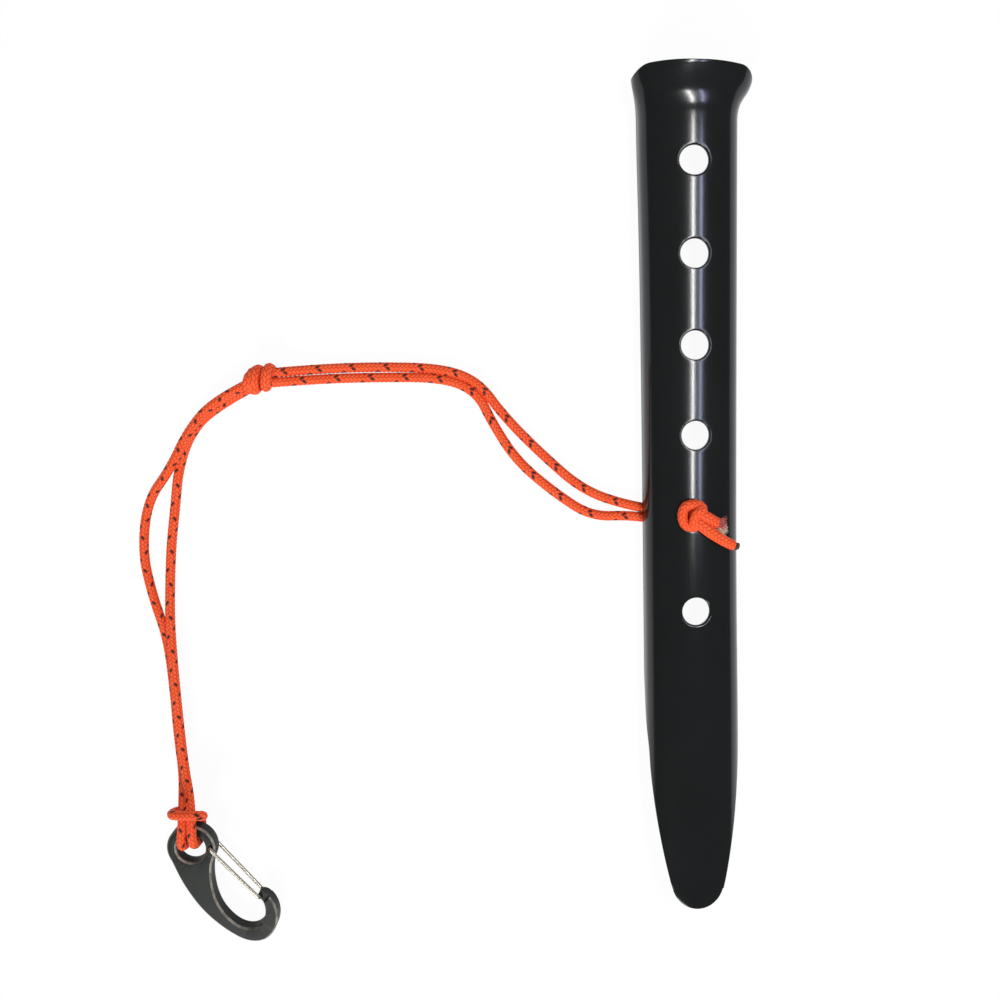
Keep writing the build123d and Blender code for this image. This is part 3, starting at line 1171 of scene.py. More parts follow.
UPPER_ROUTE: tuple[Point, ...] = (
    (0.0007, -0.0037, 0.0149),
    (-0.00007, -0.0037, 0.00831),
    (-0.0064, -0.0037, 0.0015),
    (-0.0186, -0.0018, 0.0015),
    (-0.0326, 0.0031, 0.0015),
    (-0.0452, 0.0144, 0.0015),
    (-0.0572, 0.0269, 0.0015),
    (-0.0647, 0.0376, 0.0015),
    (-0.0758, 0.0421, 0.0015),
    (-0.0966, 0.0431, 0.0015),
    (-0.1166, 0.04285, 0.0015),
    (-0.1306, 0.0418, 0.0043),
)
LOWER_ROUTE: tuple[Point, ...] = (
    (0.0007, -0.0067, 0.0149),
    (-0.00007, -0.0067, 0.00831),
    (-0.0064, -0.0068, 0.0015),
    (-0.0181, -0.00475, 0.0015),
    (-0.0304, -0.005, 0.0015),
    (-0.0413, 0.0023, 0.0015),
    (-0.0532, 0.0126, 0.0015),
    (-0.0606, 0.0245, 0.0015),
    (-0.0653, 0.0346, 0.0015),
    (-0.0756, 0.0392, 0.0015),
    (-0.0956, 0.0398, 0.0015),
    (-0.1156, 0.03975, 0.0015),
    (-0.1306, 0.0388, 0.0043),
)
LEFT_ROUTE: tuple[Point, ...] = (
    (-0.1347, 0.0395, 0.0054),
    (-0.1481, 0.0338, 0.0043),
    (-0.1571, 0.0243, 0.0043),
    (-0.1638, 0.0123, 0.0036),
    (-0.1728, 0.002, 0.0015),
    (-0.1754, -0.0145, 0.0015),
    (-0.1728, -0.029, 0.0015),
    (-0.1685, -0.043, 0.0015),
    (-0.1672, -0.0605, 0.0015),
    (-0.1667, -0.076, 0.0015),
    (-0.1657, -0.088, 0.0015),
    (-0.1644, -0.0951, 0.0058),
)
HITCH_ROUTE: tuple[Point, ...] = (
    (-0.1633, -0.1022, 0.0103),
    (-0.1644, -0.1108, 0.0103),
    (-0.1641, -0.1104, 0.0016),
    (-0.1656, -0.101, 0.0016),
    (-0.1667, -0.0991, 0.0075),
    (-0.1663, -0.0982, 0.0128),
    (-0.155, -0.0983, 0.0125),
    (-0.1584, -0.1009, 0.0068),
    (-0.1604, -0.1026, 0.0016),
    (-0.1604, -0.1099, 0.0016),
    (-0.1604, -0.1101, 0.0103),
    (-0.1604, -0.1022, 0.0103),
)
RIGHT_ROUTE: tuple[Point, ...] = (
    (-0.136, 0.0377, 0.0032),
    (-0.1502, 0.031, 0.0015),
    (-0.1579, 0.0227, 0.0015),
    (-0.162, 0.0119, 0.0015),
    (-0.1636, 0.0005, 0.0015),
    (-0.1656, -0.012, 0.0015),
    (-0.1666, -0.024, 0.0017),
    (-0.1665, -0.0375, 0.0039),
    (-0.1658, -0.054, 0.0046),
    (-0.165, -0.0705, 0.0046),
    (-0.164, -0.086, 0.0046),
    (-0.1616, -0.0941, 0.00735),
)


@dataclass(frozen=True)
class Stretch:
    """Free stretch of cord between two knots: its route and its length, in metres."""

    name: str
    nodes: tuple[str, ...]
    route: tuple[Point, ...]
    length: float


@dataclass(frozen=True)
class KnotTurn:
    """Turn of the middle knot: its place along the axis, its size and where it dives in."""

    shift: float
    radius: float
    half_width: float
    dive_at: float


@dataclass
class Cord:
    """One length of plaited cord: its free stretches, its knots and its two ends."""

    spacing: float = 0.2
    stretches: tuple[Stretch, ...] = (
        Stretch("cord_run_upper", ("cord_strand_upper",), UPPER_ROUTE, 0.157),
        Stretch("cord_run_lower", ("cord_strand_lower",), LOWER_ROUTE, 0.159),
        Stretch(
            "cord_far_bight",
            ("cord_strand_left", "girth_hitch", "cord_strand_right"),
            (*LEFT_ROUTE, *HITCH_ROUTE, *RIGHT_ROUTE[::-1]),
            0.386,
        ),
    )
    stretch_start: float = 3.1
    knot_centre: Point = (-133.1, 40.05, 4.7)
    knot_axis: Point = (0.985, 0.173, 0.0)
    knot_turns: tuple[KnotTurn, ...] = (
        KnotTurn(-2.7, 2.65, 1.9, 0.10),
        KnotTurn(-1.05, 3.15, 1.7, 0.35),
        KnotTurn(2.6, 2.95, 1.45, 0.60),
        KnotTurn(3.0, 2.5, 1.45, 0.85),
    )
    knot_half_height: float = 1.4
    knot_lean: float = 1.2
    knot_overlap: float = 0.06
    knot_samples: int = 240
    knot_start: float = 2.3
    dive: float = 1.2
    dive_from: float = 0.86
    dive_over: float = 0.26
    broad_turn: Band = Band(
        (
            (2.3, -2.4, 14.9),
            (1.9, -1.2, 15.5),
            (0.6, -0.35, 15.9),
            (-1.0, -0.25, 16.1),
            (-2.7, -0.75, 16.2),
            (-3.6, -2.3, 16.2),
            (-3.7, -4.3, 16.1),
            (-2.9, -6.2, 15.9),
            (-1.3, -7.0, 15.7),
            (0.5, -6.7, 15.4),
            (1.7, -5.7, 15.2),
        ),
        half_width=1.5,
        half_height=1.7,
    )
    crossing_turn: Band = Band(
        (
            (2.7, -2.1, 15.0),
            (1.8, -1.9, 16.8),
            (0.6, -2.4, 17.8),
            (-0.3, -3.7, 17.9),
            (-0.7, -5.1, 17.4),
            (-0.5, -6.4, 15.9),
        ),
        half_width=1.35,
        half_height=1.3,
        lift=(-0.25, 0.15, 1.0),
        start=4.0,
    )
    heart: Band = Band(
        ((0.7, -1.2, 14.2), (0.2, -3.8, 14.6), (-0.3, -7.0, 14.2)),
        half_width=2.3,
        half_height=1.5,
        start=1.0,
    )
    upper_tail: Band = Band(
        (
            (0.6, -2.8, 15.9),
            (2.5, -3.5, 16.4),
            (4.1, -4.45, 16.1),
            (5.6, -5.4, 15.4),
            (7.2, -6.2, 14.8),
        ),
        half_width=1.65,
        half_height=1.1,
        lift=(0.42, 0.1, 1.0),
        start=1.0,
    )
    lower_tail: Band = Band(
        (
            (-0.2, -4.4, 15.8),
            (1.2, -5.9, 16.5),
            (3.2, -7.6, 16.2),
            (5.6, -9.4, 15.4),
            (8.1, -11.1, 14.4),
            (10.5, -12.5, 13.3),
            (12.3, -13.2, 12.6),
        ),
        half_width=1.72,
        half_height=1.25,
        lift=(0.42, 0.1, 1.0),
        start=5.5,
        swell=0.08,
    )
    cut: Tuft = Tuft(
        (0.9, -0.12, 0.02),
        half_width=1.4,
        half_height=0.8,
        count=110,
        length=2.4,
        radius=0.12,
        seed=3,
    )
    cut_depth: int = 4
    core: Tuft = Tuft(
        (0.93, -0.34, 0.0),
        half_width=0.7,
        half_height=0.5,
        count=90,
        length=3.0,
        radius=0.09,
        seed=7,
    )
    core_root: Point = (6.6, -7.2, 14.5)
    bead: Bead = Bead((12.75, -13.35, 12.5), (0.86, -0.3, -0.42), (0.8, 1.15, 0.9))
    laid: list[tuple[bpy.types.Object, Stretch, Array]] = field(default_factory=list)

    def build_stretches(self, finish: bpy.types.Material) -> None:
        """Make the free stretches along their routes.

        Args:
            finish: The cord's material.
        """
        for number, stretch in enumerate(self.stretches):
            path = route_points(stretch.name, stretch.route, self.spacing)
            item = sheath(path, start=self.stretch_start * number).as_object(stretch.name)
            place(item, Body.STAKE, Slot.CORD, finish, *stretch.nodes)
            self.laid.append((item, stretch, path * MM))

    def build_middle_knot(self, finish: bpy.types.Material) -> bpy.types.Object:
        """Overhand knot in both strands: four turns drawn tight, leaning over its axis.

        A turn is a circle round the axis whose place along the axis sways once a turn,
        so that the turn leans. Its two ends dive into the knot.

        Args:
            finish: The cord's material.

        Returns:
            The knot.
        """
        axis = unit(np.asarray(self.knot_axis))
        across = np.cross(UP, axis)
        centre = np.asarray(self.knot_centre)
        share = np.linspace(-self.knot_overlap, 1 + self.knot_overlap, self.knot_samples)
        deep = np.clip(np.abs(share - 0.5) * 2 - self.dive_from, 0, 1) / self.dive_over
        turns = []
        for number, turn in enumerate(self.knot_turns):
            angle = FULL_TURN * (share + turn.dive_at)
            reach = turn.radius - self.dive * deep
            sway = np.cos(angle)
            along = turn.shift + self.knot_lean * sway
            radial = sway[:, None] * across + np.sin(angle)[:, None] * np.asarray(UP)
            path = centre + along[:, None] * axis + reach[:, None] * radial
            path = evenly_spaced(path, self.spacing)
            away = path - centre
            away = unit(away - (away @ axis)[:, None] * axis)
            start = self.knot_start * number
            turns.append(sheath(path, turn.half_width, self.knot_half_height, away, start))
        knot = reduce(Surface.joined, turns).as_object("middle_knot_turns")
        return place(knot, Body.STAKE, Slot.CORD, finish, "middle_knot")

    def build_stopper_knot(self, finish: bpy.types.Material) -> bpy.types.Object:
        """Overhand knot on the crown: a broad turn, a turn that lies over it, and a heart.

        Args:
            finish: The cord's material.

        Returns:
            The knot.
        """
        turns = [
            band.surface(smooth_path(band.points, self.spacing))
            for band in (self.broad_turn, self.crossing_turn, self.heart)
        ]
        knot = reduce(Surface.joined, turns).as_object("stopper_knot_turns")
        return place(knot, Body.STAKE, Slot.CORD, finish, "stopper_knot")

    def build_tails(
        self,
        finish: bpy.types.Material,
        fibres: bpy.types.Material,
        filaments: bpy.types.Material,
        melted: bpy.types.Material,
    ) -> list[bpy.types.Object]:
        """Both cut ends: the upper one frayed to its core, the lower one melted to a bead.

        Args:
            finish: The cord's material.
            fibres: Material of the cut sheath's fibres.
            filaments: Material of the core's filaments.
            melted: Material of the sealed end.

        Returns:
            The pieces.
        """
        upper = smooth_path(self.upper_tail.points, self.spacing)
        lower = smooth_path(self.lower_tail.points, self.spacing)
        made = (
            (self.upper_tail.surface(upper), "cord_end_upper", finish, ("cord_tail_upper",)),
            (self.lower_tail.surface(lower), "cord_end_lower", finish, ("cord_tail_lower",)),
            (self.cut.surface(upper[-self.cut_depth]), "cut_fibres", fibres, ()),
            (self.core.surface(self.core_root), "core_filaments", filaments, ()),
            (self.bead.surface(), "sealed_tip", melted, ()),
        )
        return [
            place(surface.as_object(name), Body.STAKE, Slot.CORD, material, *nodes)
            for surface, name, material, nodes in made
        ]


# The stake's shell


def circle_through(
    first: Sequence[float], second: Sequence[float], third: Sequence[float]
) -> Point:
    """Circle through three points in a plane, which are all as far from its centre.

    Args:
        first: One point.
        second: Another point.
        third: A third point, not in line with them.

    Returns:
        The centre's two coordinates and the radius.
    """
    rows = 2 * np.asarray([np.subtract(second, first), np.subtract(third, first)])
    sums = np.asarray([np.dot(second, second), np.dot(third, third)]) - np.dot(first, first)
    centre = np.linalg.solve(rows, sums)
    return float(centre[0]), float(centre[1]), float(np.linalg.norm(centre - np.asarray(first)))


@dataclass
class StakeShell:
    """Half-pipe shell with a flared head, six holes and a tapered tail.

    A point of its skin is given by its place across (the distance from the crown along the
    section at the neck), its station along the stake and its depth below the outer skin.
    """

    length: float = 253.0
    half_at_neck: float = 14.05
    left_halves: tuple[tuple[float, float], ...] = (
        (-127.5, 14.0), (-65, 14.1), (-37, 14.15), (53, 14.45), (85, 14.8), (108, 15.2),
        (127, 15.3),
    )
    right_halves: tuple[tuple[float, float], ...] = (
        (-127.5, 14.6), (-65, 14.6), (-37, 14.3), (53, 14.2), (113, 14.35), (127, 14.4),
    )
    left_flare: float = 0.6
    height: float = 12.4
    wall: float = 1.6
    leg: float = 3.0
    shoulder: float = 8.5
    tilt: float = 6.7
    neck: float = 113.0
    flare_steps: tuple[tuple[float, float], ...] = (
        (0, 0), (3, 0.25), (6, 1.15), (8.5, 2.55), (11, 3.4), (15, 4.1),
    )
    flare_slopes: tuple[float, float] = (0.0, 0.1)
    crown_steps: tuple[tuple[float, float], ...] = (
        (0, 0), (1.5, -0.05), (3, -0.06), (5, 0.2), (7, 0.9), (9, 1.75), (11, 2.6), (13, 3.4),
        (15, 4.2),
    )
    crown_slopes: tuple[float, float] = (0.0, 0.4)
    flare_lead: float = 1.2
    flare_extra: float = 0.14
    flare_at_rim: float = 3.6
    foot_share: float = 0.4
    leg_share: float = 0.55
    crown_share: float = 0.9
    rim_middle: float = 126.5
    rim_skew: float = 0.045
    rim_arc_end: tuple[float, float] = (13.0, 125.9)
    rim_bend: tuple[float, float] = (16.2, 124.8)
    rim_corner: tuple[float, float] = (18.6, 122.0)
    rim_rounds: int = 12
    left_taper: tuple[tuple[float, float], ...] = ((13.9, -72.0), (12.6, -95.0), (7.9, -120.8))
    right_taper: tuple[tuple[float, float], ...] = ((14.5, -72.0), (12.9, -95.0), (8.5, -120.8))
    tip_corner: tuple[float, float] = (7.8, -120.8)
    tip_limit: float = 0.965
    tail_from: float = -99.8
    tail_length: float = 21.0
    leg_from: float = -84.0
    leg_steps: tuple[tuple[float, float], ...] = ((-76.0, 17.1), (-68.0, 19.6), (-60.0, 21.1))
    leg_whole: float = -52.0
    slope_step: float = 2.0
    hole_across: float = -0.3
    hole_pitch: float = 26.5
    first_hole: float = 99.6
    hole_radii: tuple[float, ...] = (4.25, 4.25, 4.25, 4.25, 2.9, 4.25)
    hole_shifts: tuple[float, ...] = (0.0, 0.0, 0.0, 0.0, 1.2, 0.0)
    edge_round: float = 0.45
    patch_half: float = 5.9
    patch_cells: int = 12
    patch_rings: int = 4
    patch_ease: float = 0.8
    side_cells: int = 26
    round_cells: int = 4
    tail_ease: float = 0.7
    end_cells: int = 24
    neck_cells: int = 7
    flare_length: float = 13.0
    row_pitch: float = 1.3

    def __post_init__(self) -> None:
        """Work out the section's lengths at the neck and the flare's curve."""
        reach = self.half_at_neck - self.shoulder
        crown_radius, turn = self._crown(np.asarray(reach), np.asarray(self.height - self.leg))
        self.to_shoulder = float(crown_radius * turn)
        self.to_leg = self.to_shoulder + self.shoulder * (QUARTER_TURN - float(turn))
        self.to_foot = self.to_leg + self.leg
        self.left_half = SmoothCurve(*zip(*self.left_halves))
        self.right_half = SmoothCurve(*zip(*self.right_halves))
        self.flare = SmoothCurve(*zip(*self.flare_steps), self.flare_slopes)
        self.crown_rise = SmoothCurve(*zip(*self.crown_steps), self.crown_slopes)
        tilt = radians(self.tilt)
        foot_at_rim = self.half_at_neck + self.foot_share * self.flare_at_rim
        leg_at_rim = self.leg + self.leg_share * self.flare_at_rim
        self.origin = np.asarray((-leg_at_rim * sin(tilt), 0.0, foot_at_rim * sin(tilt)))
        self.sideways = np.asarray((cos(tilt), 0.0, -sin(tilt)))
        self.upwards = np.asarray((sin(tilt), 0.0, cos(tilt)))

    def _crown(self, reach: Array, drop: Array) -> tuple[Array, Array]:
        """Radius of the crown's arc, and its turn to where it meets the shoulder's."""
        radius = (reach**2 + drop**2 - self.shoulder**2) / (2 * (drop - self.shoulder))
        return radius, np.arctan2(reach, radius - drop)

    def section(self, across: Array, station: Array, depth: Array) -> tuple[Array, Array]:
        """Distance from the middle plane and height of a point of the shell.

        The section is a leg, a shoulder arc and a crown arc that meet smoothly. Each part
        takes the same share of the place across at every station, and depth goes inwards
        along the section's normal. The flare widens it by curves of the station, and it
        starts a little sooner on the right than on the left.

        Args:
            across: Place across, negative to the left.
            station: Place along the stake.
            depth: Distance below the outer skin.

        Returns:
            Both measures in millimetres.
        """
        half = self._half(across > 0, station)
        side_share = np.clip(np.abs(across) / self.to_leg, 0, 1) ** 2
        lead = self.flare_lead * side_share * (across > 0)
        extra = np.where(across > 0, self.flare_extra, self.left_flare - 1)
        growth = self.flare(np.maximum(station + lead - self.neck, 0)) * (1 + extra * side_share)
        rise = self.crown_rise(np.maximum(station - self.neck, 0))
        side, foot = half + growth, half + self.foot_share * growth
        leg = self.leg + self.leg_share * growth
        crown = self.height + self.crown_share * rise
        reach = side - self.shoulder
        radius, turn = self._crown(reach, crown - leg)
        place = np.abs(across)
        crown_angle = turn * np.clip(place / self.to_shoulder, 0, 1)
        bend = (place - self.to_shoulder) / (self.to_leg - self.to_shoulder)
        shoulder_angle = turn + (QUARTER_TURN - turn) * np.clip(bend, 0, 1)
        down = np.clip((place - self.to_leg) / (self.to_foot - self.to_leg), 0, None)
        on_crown, on_leg = place <= self.to_shoulder, place > self.to_leg
        angle = np.where(on_crown, crown_angle, shoulder_angle)
        u = np.where(on_crown, radius * np.sin(angle), reach + self.shoulder * np.sin(angle))
        w = np.where(
            on_crown, crown - radius + radius * np.cos(angle), leg + self.shoulder * np.cos(angle)
        )
        u = np.where(on_leg, side + (foot - side) * down, u) - depth * np.sin(angle)
        w = np.where(on_leg, leg * (1 - down), w - depth * np.cos(angle))
        return u * np.sign(np.where(across == 0, 1, across)), w

    def skin(self, across: Array, station: Array, depth: Array) -> Array:
        """Point of the shell: its section's measures laid in the tilted plane.

        Args:
            across: Place across, negative to the left.
            station: Place along the stake.
            depth: Distance below the outer skin.

        Returns:
            The points in metres.
        """
        u, w = self.section(across, station, depth)
        point = self.origin + u[..., None] * self.sideways + w[..., None] * self.upwards
        point[..., 1] = station
        return point * MM

    def _half(self, right: Array, station: Array) -> Array:
        """Half the plain shell's width on its left or right side at each station."""
        return np.where(right, self.right_half(station), self.left_half(station))

    def _place_for(self, u: Array, station: Array, right: bool) -> Array:
        """Place across of the skin's point at a distance from the middle plane.

        The section's formula turned round: the angle on either arc is the arc sine of the
        distance from that arc's middle over its radius.

        Args:
            u: Distance from the middle plane.
            station: Place along the stake.
            right: Whether it is on the right side.

        Returns:
            The place across, as a distance from the crown.
        """
        reach = self._half(right, station) - self.shoulder
        radius, turn = self._crown(reach, self.height - self.leg)
        on_crown = self.to_shoulder * np.arcsin(np.clip(u / radius, 0, 1)) / turn
        angle = np.arcsin(np.clip((u - reach) / self.shoulder, 0, 1))
        bend = (angle - turn) / (QUARTER_TURN - turn)
        on_shoulder = self.to_shoulder + bend * (self.to_leg - self.to_shoulder)
        return np.where(u < radius * np.sin(turn), on_crown, on_shoulder)

    def _tapered(self, station: Array, right: bool) -> Array:
        """Place across of the tail's edge, a circle's arc seen from above.

        Args:
            station: Place along the stake.
            right: Whether it is the right edge.

        Returns:
            The place across, as a distance from the crown.
        """
        cx, cy, radius = circle_through(*(self.right_taper if right else self.left_taper))
        side = cx + np.sqrt(np.clip(radius**2 - (station - cy) ** 2, 0, None))
        return self._place_for(side, station, right)

    def _edge(self, station: Array, right: bool) -> Array:
        """Place across of a long edge, less its rounding.

        The tail's arc is carried on by a cubic curve through the leg's steps, from its own
        slope to the foot of the whole leg.

        Args:
            station: Place along the stake.
            right: Whether it is the right edge.

        Returns:
            The place across, as a distance from the crown.
        """
        starts = np.asarray([self.leg_from, self.leg_from - self.slope_step])
        low, before = self._tapered(starts, right)
        steps = ((self.leg_from, low), *self.leg_steps, (self.leg_whole, self.to_foot))
        growing = SmoothCurve(*zip(*steps), ((low - before) / self.slope_step, 0.0))
        place = np.where(station < self.leg_from, self._tapered(station, right), growing(station))
        return np.where(station > self.leg_whole, self.to_foot, place) - self.edge_round

    def _rim(self, u: Array) -> Array:
        """Station of the slightly skewed rim: a flat arc with a tighter one at each corner.

        Args:
            u: Distance from the middle plane, negative to the left.

        Returns:
            The rim's place along the stake, less its rounding.
        """
        _, low, wide = circle_through(
            (-self.rim_arc_end[0], self.rim_arc_end[1]), (0, self.rim_middle), self.rim_arc_end
        )
        cx, cy, radius = circle_through(self.rim_corner, self.rim_bend, self.rim_arc_end)
        out = np.abs(u)
        middle = low + np.sqrt(wide**2 - out**2)
        corner = cy + np.sqrt(np.clip(radius**2 - (out - cx) ** 2, 0.01, None))
        plain = np.where(out < self.rim_arc_end[0], middle, corner)
        return plain - self.edge_round + self.rim_skew * np.maximum(-u, 0)

    def _stations(self) -> Array:
        """Rows along the stake, with the hole patches' own rows among them.

        Returns:
            The rows' places along the stake, from the tip to the rim.
        """
        ends = np.linspace(0, 1, self.end_cells + 1)
        rows = [ends[:-1] ** self.tail_ease * self.tail_length + self.tip_corner[1]]
        reached = self.tail_from
        for number in range(len(self.hole_radii))[::-1]:
            middle = self.first_hole - number * self.hole_pitch
            low, high = middle - self.patch_half, middle + self.patch_half
            cells = max(2, int(round((low - reached) / self.row_pitch)))
            rows.append(np.linspace(reached, low, cells + 1)[:-1])
            rows.append(np.linspace(low, high, self.patch_cells + 1)[:-1])
            reached = high
        rows.append(np.linspace(reached, self.neck, self.neck_cells + 1)[:-1])
        rows.append(self.neck + ends * self.flare_length)
        return np.concatenate(rows)

    def _plan(self, stations: Array) -> tuple[Array, Array]:
        """Flat grid of the skin, even across from each long edge to the holes' strip.

        Args:
            stations: Rows along the stake.

        Returns:
            Place across and station of each point of the grid.
        """
        strip = np.linspace(-1, 1, self.patch_cells + 1) * self.patch_half + self.hole_across
        left_edge, right_edge = (self._edge(stations, right)[:, None] for right in (False, True))
        out = np.linspace(1, 0, self.side_cells + 1)[:-1]
        left = -left_edge * out + strip[0] * (1 - out)
        right = (right_edge * out + strip[-1] * (1 - out))[:, ::-1]
        middle = np.broadcast_to(strip, (len(stations), len(strip)))
        across = np.concatenate([left, middle, right], axis=1)
        station = np.broadcast_to(stations[:, None], across.shape)
        return across, self._square_rim(across, self._bow_tip(across, station))

    def _hole_rings(self, border: Array, middle: float, radius: float, shift: float) -> Array:
        """Rings of points that go over from a square patch's border to a round hole.

        A ring is the border mixed with the circle by a share that rises with the ring's
        number, and each point of the circle lies in its border point's direction.

        Args:
            border: The patch's border points.
            middle: Station of the patch's middle.
            radius: The hole's radius.
            shift: Distance along the stake by which the hole leaves the patch's middle.

        Returns:
            The rings' points, one ring a row, the hole's rounded edge left out.
        """
        away = border - (self.hole_across, middle)
        angle = np.arctan2(away[:, 1], away[:, 0])
        circle = np.stack([np.cos(angle), np.sin(angle)], axis=1) * (radius + self.edge_round)
        circle = circle + (self.hole_across, middle + shift)
        share = np.linspace(0, 1, self.patch_rings + 1)[1:, None, None] ** self.patch_ease
        return border * (1 - share) + circle * share

    def build(self, finish: bpy.types.Material) -> None:
        """Grid both skins with the holes left out, and join them round every edge.

        Args:
            finish: The shell's material.
        """
        stations = self._stations()
        across, station = self._plan(stations)
        rows, columns = across.shape
        number = np.arange(rows * columns).reshape(rows, columns)
        keep = np.ones((rows - 1, columns - 1), bool)
        grid = np.stack([across.ravel(), station.ravel()], axis=1)
        flat, faces, loops = [grid], [], []
        total = len(grid)
        for index, (radius, shift) in enumerate(zip(self.hole_radii, self.hole_shifts)):
            middle = self.first_hole - index * self.hole_pitch
            row = int(np.argmin(np.abs(stations - (middle - self.patch_half))))
            column, cells = self.side_cells, self.patch_cells
            keep[row : row + cells, column : column + cells] = False
            border = outline(number[row : row + cells + 1, column : column + cells + 1])
            rings = self._hole_rings(grid[border], middle, radius, shift)
            flat.append(rings.reshape(-1, 2))
            made = total + np.arange(rings.size // 2).reshape(self.patch_rings, -1)
            levels = np.concatenate([border[None], made])
            faces.append(ring_faces(levels))
            loops.append(levels[-1][::-1])
            total += made.size
        faces.append(grid_faces(rows, columns)[keep.ravel()])
        loops.append(outline(number))
        shell = self._thicken(np.concatenate(flat), np.concatenate(faces), loops)
        place(shell.as_object("shell_skin"), Body.STAKE, Slot.SHELL, finish, "stake_shell")

    def _bow_tip(self, across: Array, station: Array) -> Array:
        """Bend the tail's rows so that the last one is the tip's arc.

        A row moves towards the arc by the square of its share of the tail's length.

        Args:
            across: Place across of each point.
            station: Its place along the stake.

        Returns:
            The bent rows' places along the stake.
        """
        corner_u, corner_v = self.tip_corner
        tip = (0, -self.length / 2)
        _, cy, radius = circle_through((-corner_u, corner_v), tip, self.tip_corner)
        radius -= self.edge_round
        share = np.clip((self.tail_from - station) / self.tail_length, 0, 1) ** 2
        u = corner_u * across / np.abs(across).max(axis=1, keepdims=True)
        arc = cy - np.sqrt(radius**2 - np.clip(np.abs(u), 0, radius * self.tip_limit) ** 2)
        return station + share * (arc - corner_v)

    def _square_rim(self, across: Array, station: Array) -> Array:
        """Stretch the flare's rows so that the last one is the rim.

        The rim's station depends on how far out the flare is there, so both are found in
        turn until they agree.

        Args:
            across: Place across of each point.
            station: Its place along the stake.

        Returns:
            The stretched rows' places along the stake.
        """
        share = np.clip((station - self.neck) / self.flare_length, 0, 1)
        rim = np.full(across.shape, self.rim_middle)
        for _ in range(self.rim_rounds):
            rim = self._rim(self.section(across, rim, np.zeros_like(across))[0])
        return np.where(share > 0, self.neck + share * (rim - self.neck), station)

    def _thicken(self, flat: Array, quads: Array, loops: list[Array]) -> Surface:
        """Lay the flat plan on both skins and close it round the edges.

        Each edge is a quarter circle from the outer skin, a short straight wall and a
        quarter circle to the inner skin.

        Args:
            flat: Places across and stations of the plan's points.
            quads: The plan's faces.
            loops: Point numbers of the plan's edges, the plan on their left.

        Returns:
            The closed shell.
        """
        count = len(flat)
        outer = self.skin(flat[:, 0], flat[:, 1], np.zeros(count))
        inner = self.skin(flat[:, 0], flat[:, 1], np.full(count, self.wall))
        points, faces = [outer, inner], [quads, quads[:, ::-1] + count]
        total = 2 * count
        bend = np.linspace(0, QUARTER_TURN, self.round_cells + 1)[1:]
        offsets = np.concatenate([np.sin(bend), np.sin(bend[::-1])]) * self.edge_round
        depths = (1 - np.cos(bend)) * self.edge_round
        depths = np.concatenate([depths, self.wall - depths[::-1]])
        for loop in loops:
            spot = flat[loop]
            ahead = unit(np.roll(spot, -1, axis=0) - spot)
            behind = unit(spot - np.roll(spot, 1, axis=0))
            outward = np.stack([ahead[:, 1] + behind[:, 1], -ahead[:, 0] - behind[:, 0]], axis=1)
            outward = unit(outward)
            spread = spot[None] + offsets[:, None, None] * outward[None]
            level = np.broadcast_to(depths[:, None], spread.shape[:2])
            points.append(self.skin(spread[..., 0], spread[..., 1], level).reshape(-1, 3))
            made = total + np.arange(spread.shape[0] * len(loop)).reshape(spread.shape[0], -1)
            levels = np.concatenate([loop[None], made, loop[None] + count])
            faces.append(ring_faces(levels)[:, [0, 3, 2, 1]])
            total += made.size
        return Surface(np.concatenate(points), [np.concatenate(faces)])


# The carabiner


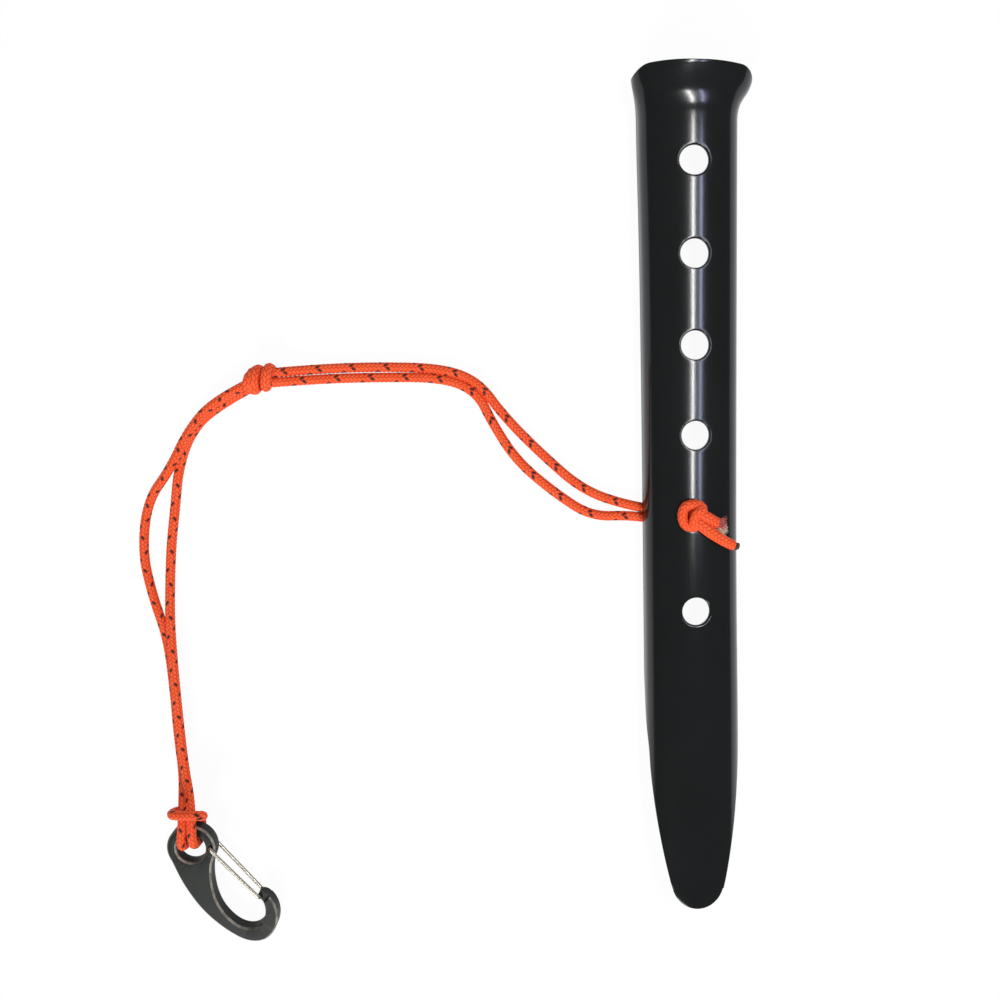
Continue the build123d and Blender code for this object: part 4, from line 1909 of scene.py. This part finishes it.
@dataclass
class Carabiner:
    """Milled body and bent wire gate, smoothed from their CAD nodes."""

    sharp_angle: float = 28.0
    merge_distance: float = 0.01
    flat_weight: int = 100
    plane: Point = (0.0381, -0.0668, 1.0)
    bevel_levels: tuple[float, float] = (0.45, 0.93)
    painted_light_towards: Point = (1.6, 0.3, 0.0)
    least_rubbed: float = 0.3

    def smooth_copy(self, node: str, name: str) -> bpy.types.Object:
        """Copy of a CAD node's mesh, merged and shaded smooth except over real edges.

        Args:
            node: Name of the CAD node.
            name: Name of the piece.

        Returns:
            The piece.
        """
        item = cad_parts[node].copy()
        item.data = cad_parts[node].data.copy()
        item.name = name
        for key in list(item.keys()):
            if key.startswith("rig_"):
                del item[key]
        item.parent = None
        bpy.context.scene.collection.objects.link(item)
        working = bmesh.new()
        working.from_mesh(item.data)
        bmesh.ops.remove_doubles(working, verts=working.verts, dist=self.merge_distance * MM)
        working.to_mesh(item.data)
        working.free()
        item.data.polygons.foreach_set("use_smooth", np.ones(len(item.data.polygons), bool))
        item.data.set_sharp_from_angle(angle=radians(self.sharp_angle))
        weighted = item.modifiers.new("flat_faces", "WEIGHTED_NORMAL")
        weighted.mode = "FACE_AREA"
        weighted.weight = self.flat_weight
        weighted.keep_sharp = True
        return item

    def mark_edges(self, item: bpy.types.Object) -> None:
        """Write each face's share of edge wear and painted highlight to the mesh, 0 where it has
        neither.

        Worn faces are the bevels, which lie neither along the body nor across it. Each bevel has
        some wear, and a painted highlight is added the more it faces the strip lamps' side,
        towards +X.

        Args:
            item: The body's piece.
        """
        normals = np.empty(len(item.data.polygons) * 3, np.float32)
        item.data.polygons.foreach_get("normal", normals)
        normals = normals.reshape(-1, 3)
        level = np.abs(normals @ unit(np.asarray(self.plane)))
        # painted highlight: bevels that face +X are made paler, as if lit from that side
        facing = np.clip(normals @ self.painted_light_towards, 0, 1)
        wear_and_highlight = self.least_rubbed + (1 - self.least_rubbed) * facing
        low, high = self.bevel_levels
        worn = np.where((level > low) & (level < high), wear_and_highlight, 0).astype(np.float32)
        layer = item.data.attributes.new("worn_edge", "FLOAT", "FACE")
        layer.data.foreach_set("value", worn)

    def build(self, body_finish: bpy.types.Material, gate_finish: bpy.types.Material) -> None:
        """Make both pieces.

        Args:
            body_finish: The body's material.
            gate_finish: The gate's material.
        """
        body = self.smooth_copy("carabiner_body", "carabiner_hook")
        self.mark_edges(body)
        place(body, Body.CARABINER, Slot.CARABINER, body_finish, "carabiner_body")
        gate = self.smooth_copy("wire_gate", "carabiner_gate_wire")
        place(gate, Body.GATE, Slot.GATE, gate_finish, "wire_gate")


def main() -> None:
    """Build the studio and every part of the stake, in order."""
    logging.basicConfig(level=logging.INFO, format="%(name)s: %(message)s")
    studio = Studio()
    studio.build_camera()
    cord_finish = CordFinish().material()
    cord = Cord()
    cord.build_stretches(cord_finish)
    knot_finish = CordFinish(name="cord_orange_knots", with_tracer=False).material()
    knots = [cord.build_middle_knot(knot_finish), cord.build_stopper_knot(knot_finish)]
    core = FibreFinish("core_cream", (0.80, 0.70, 0.52), (0.45, 0.33, 0.20)).material()
    cut = FibreFinish("cut_red", (0.62, 0.10, 0.085), (0.17, 0.014, 0.016)).material()
    tails = cord.build_tails(knot_finish, cut, core, MeltedFinish().material())
    StakeShell().build(ShellFinish().material())
    Carabiner().build(CarabinerFinish().material(), SteelFinish().material())
    studio.build_light()
    studio.build_floor()


if __name__ == "__main__":
    main()
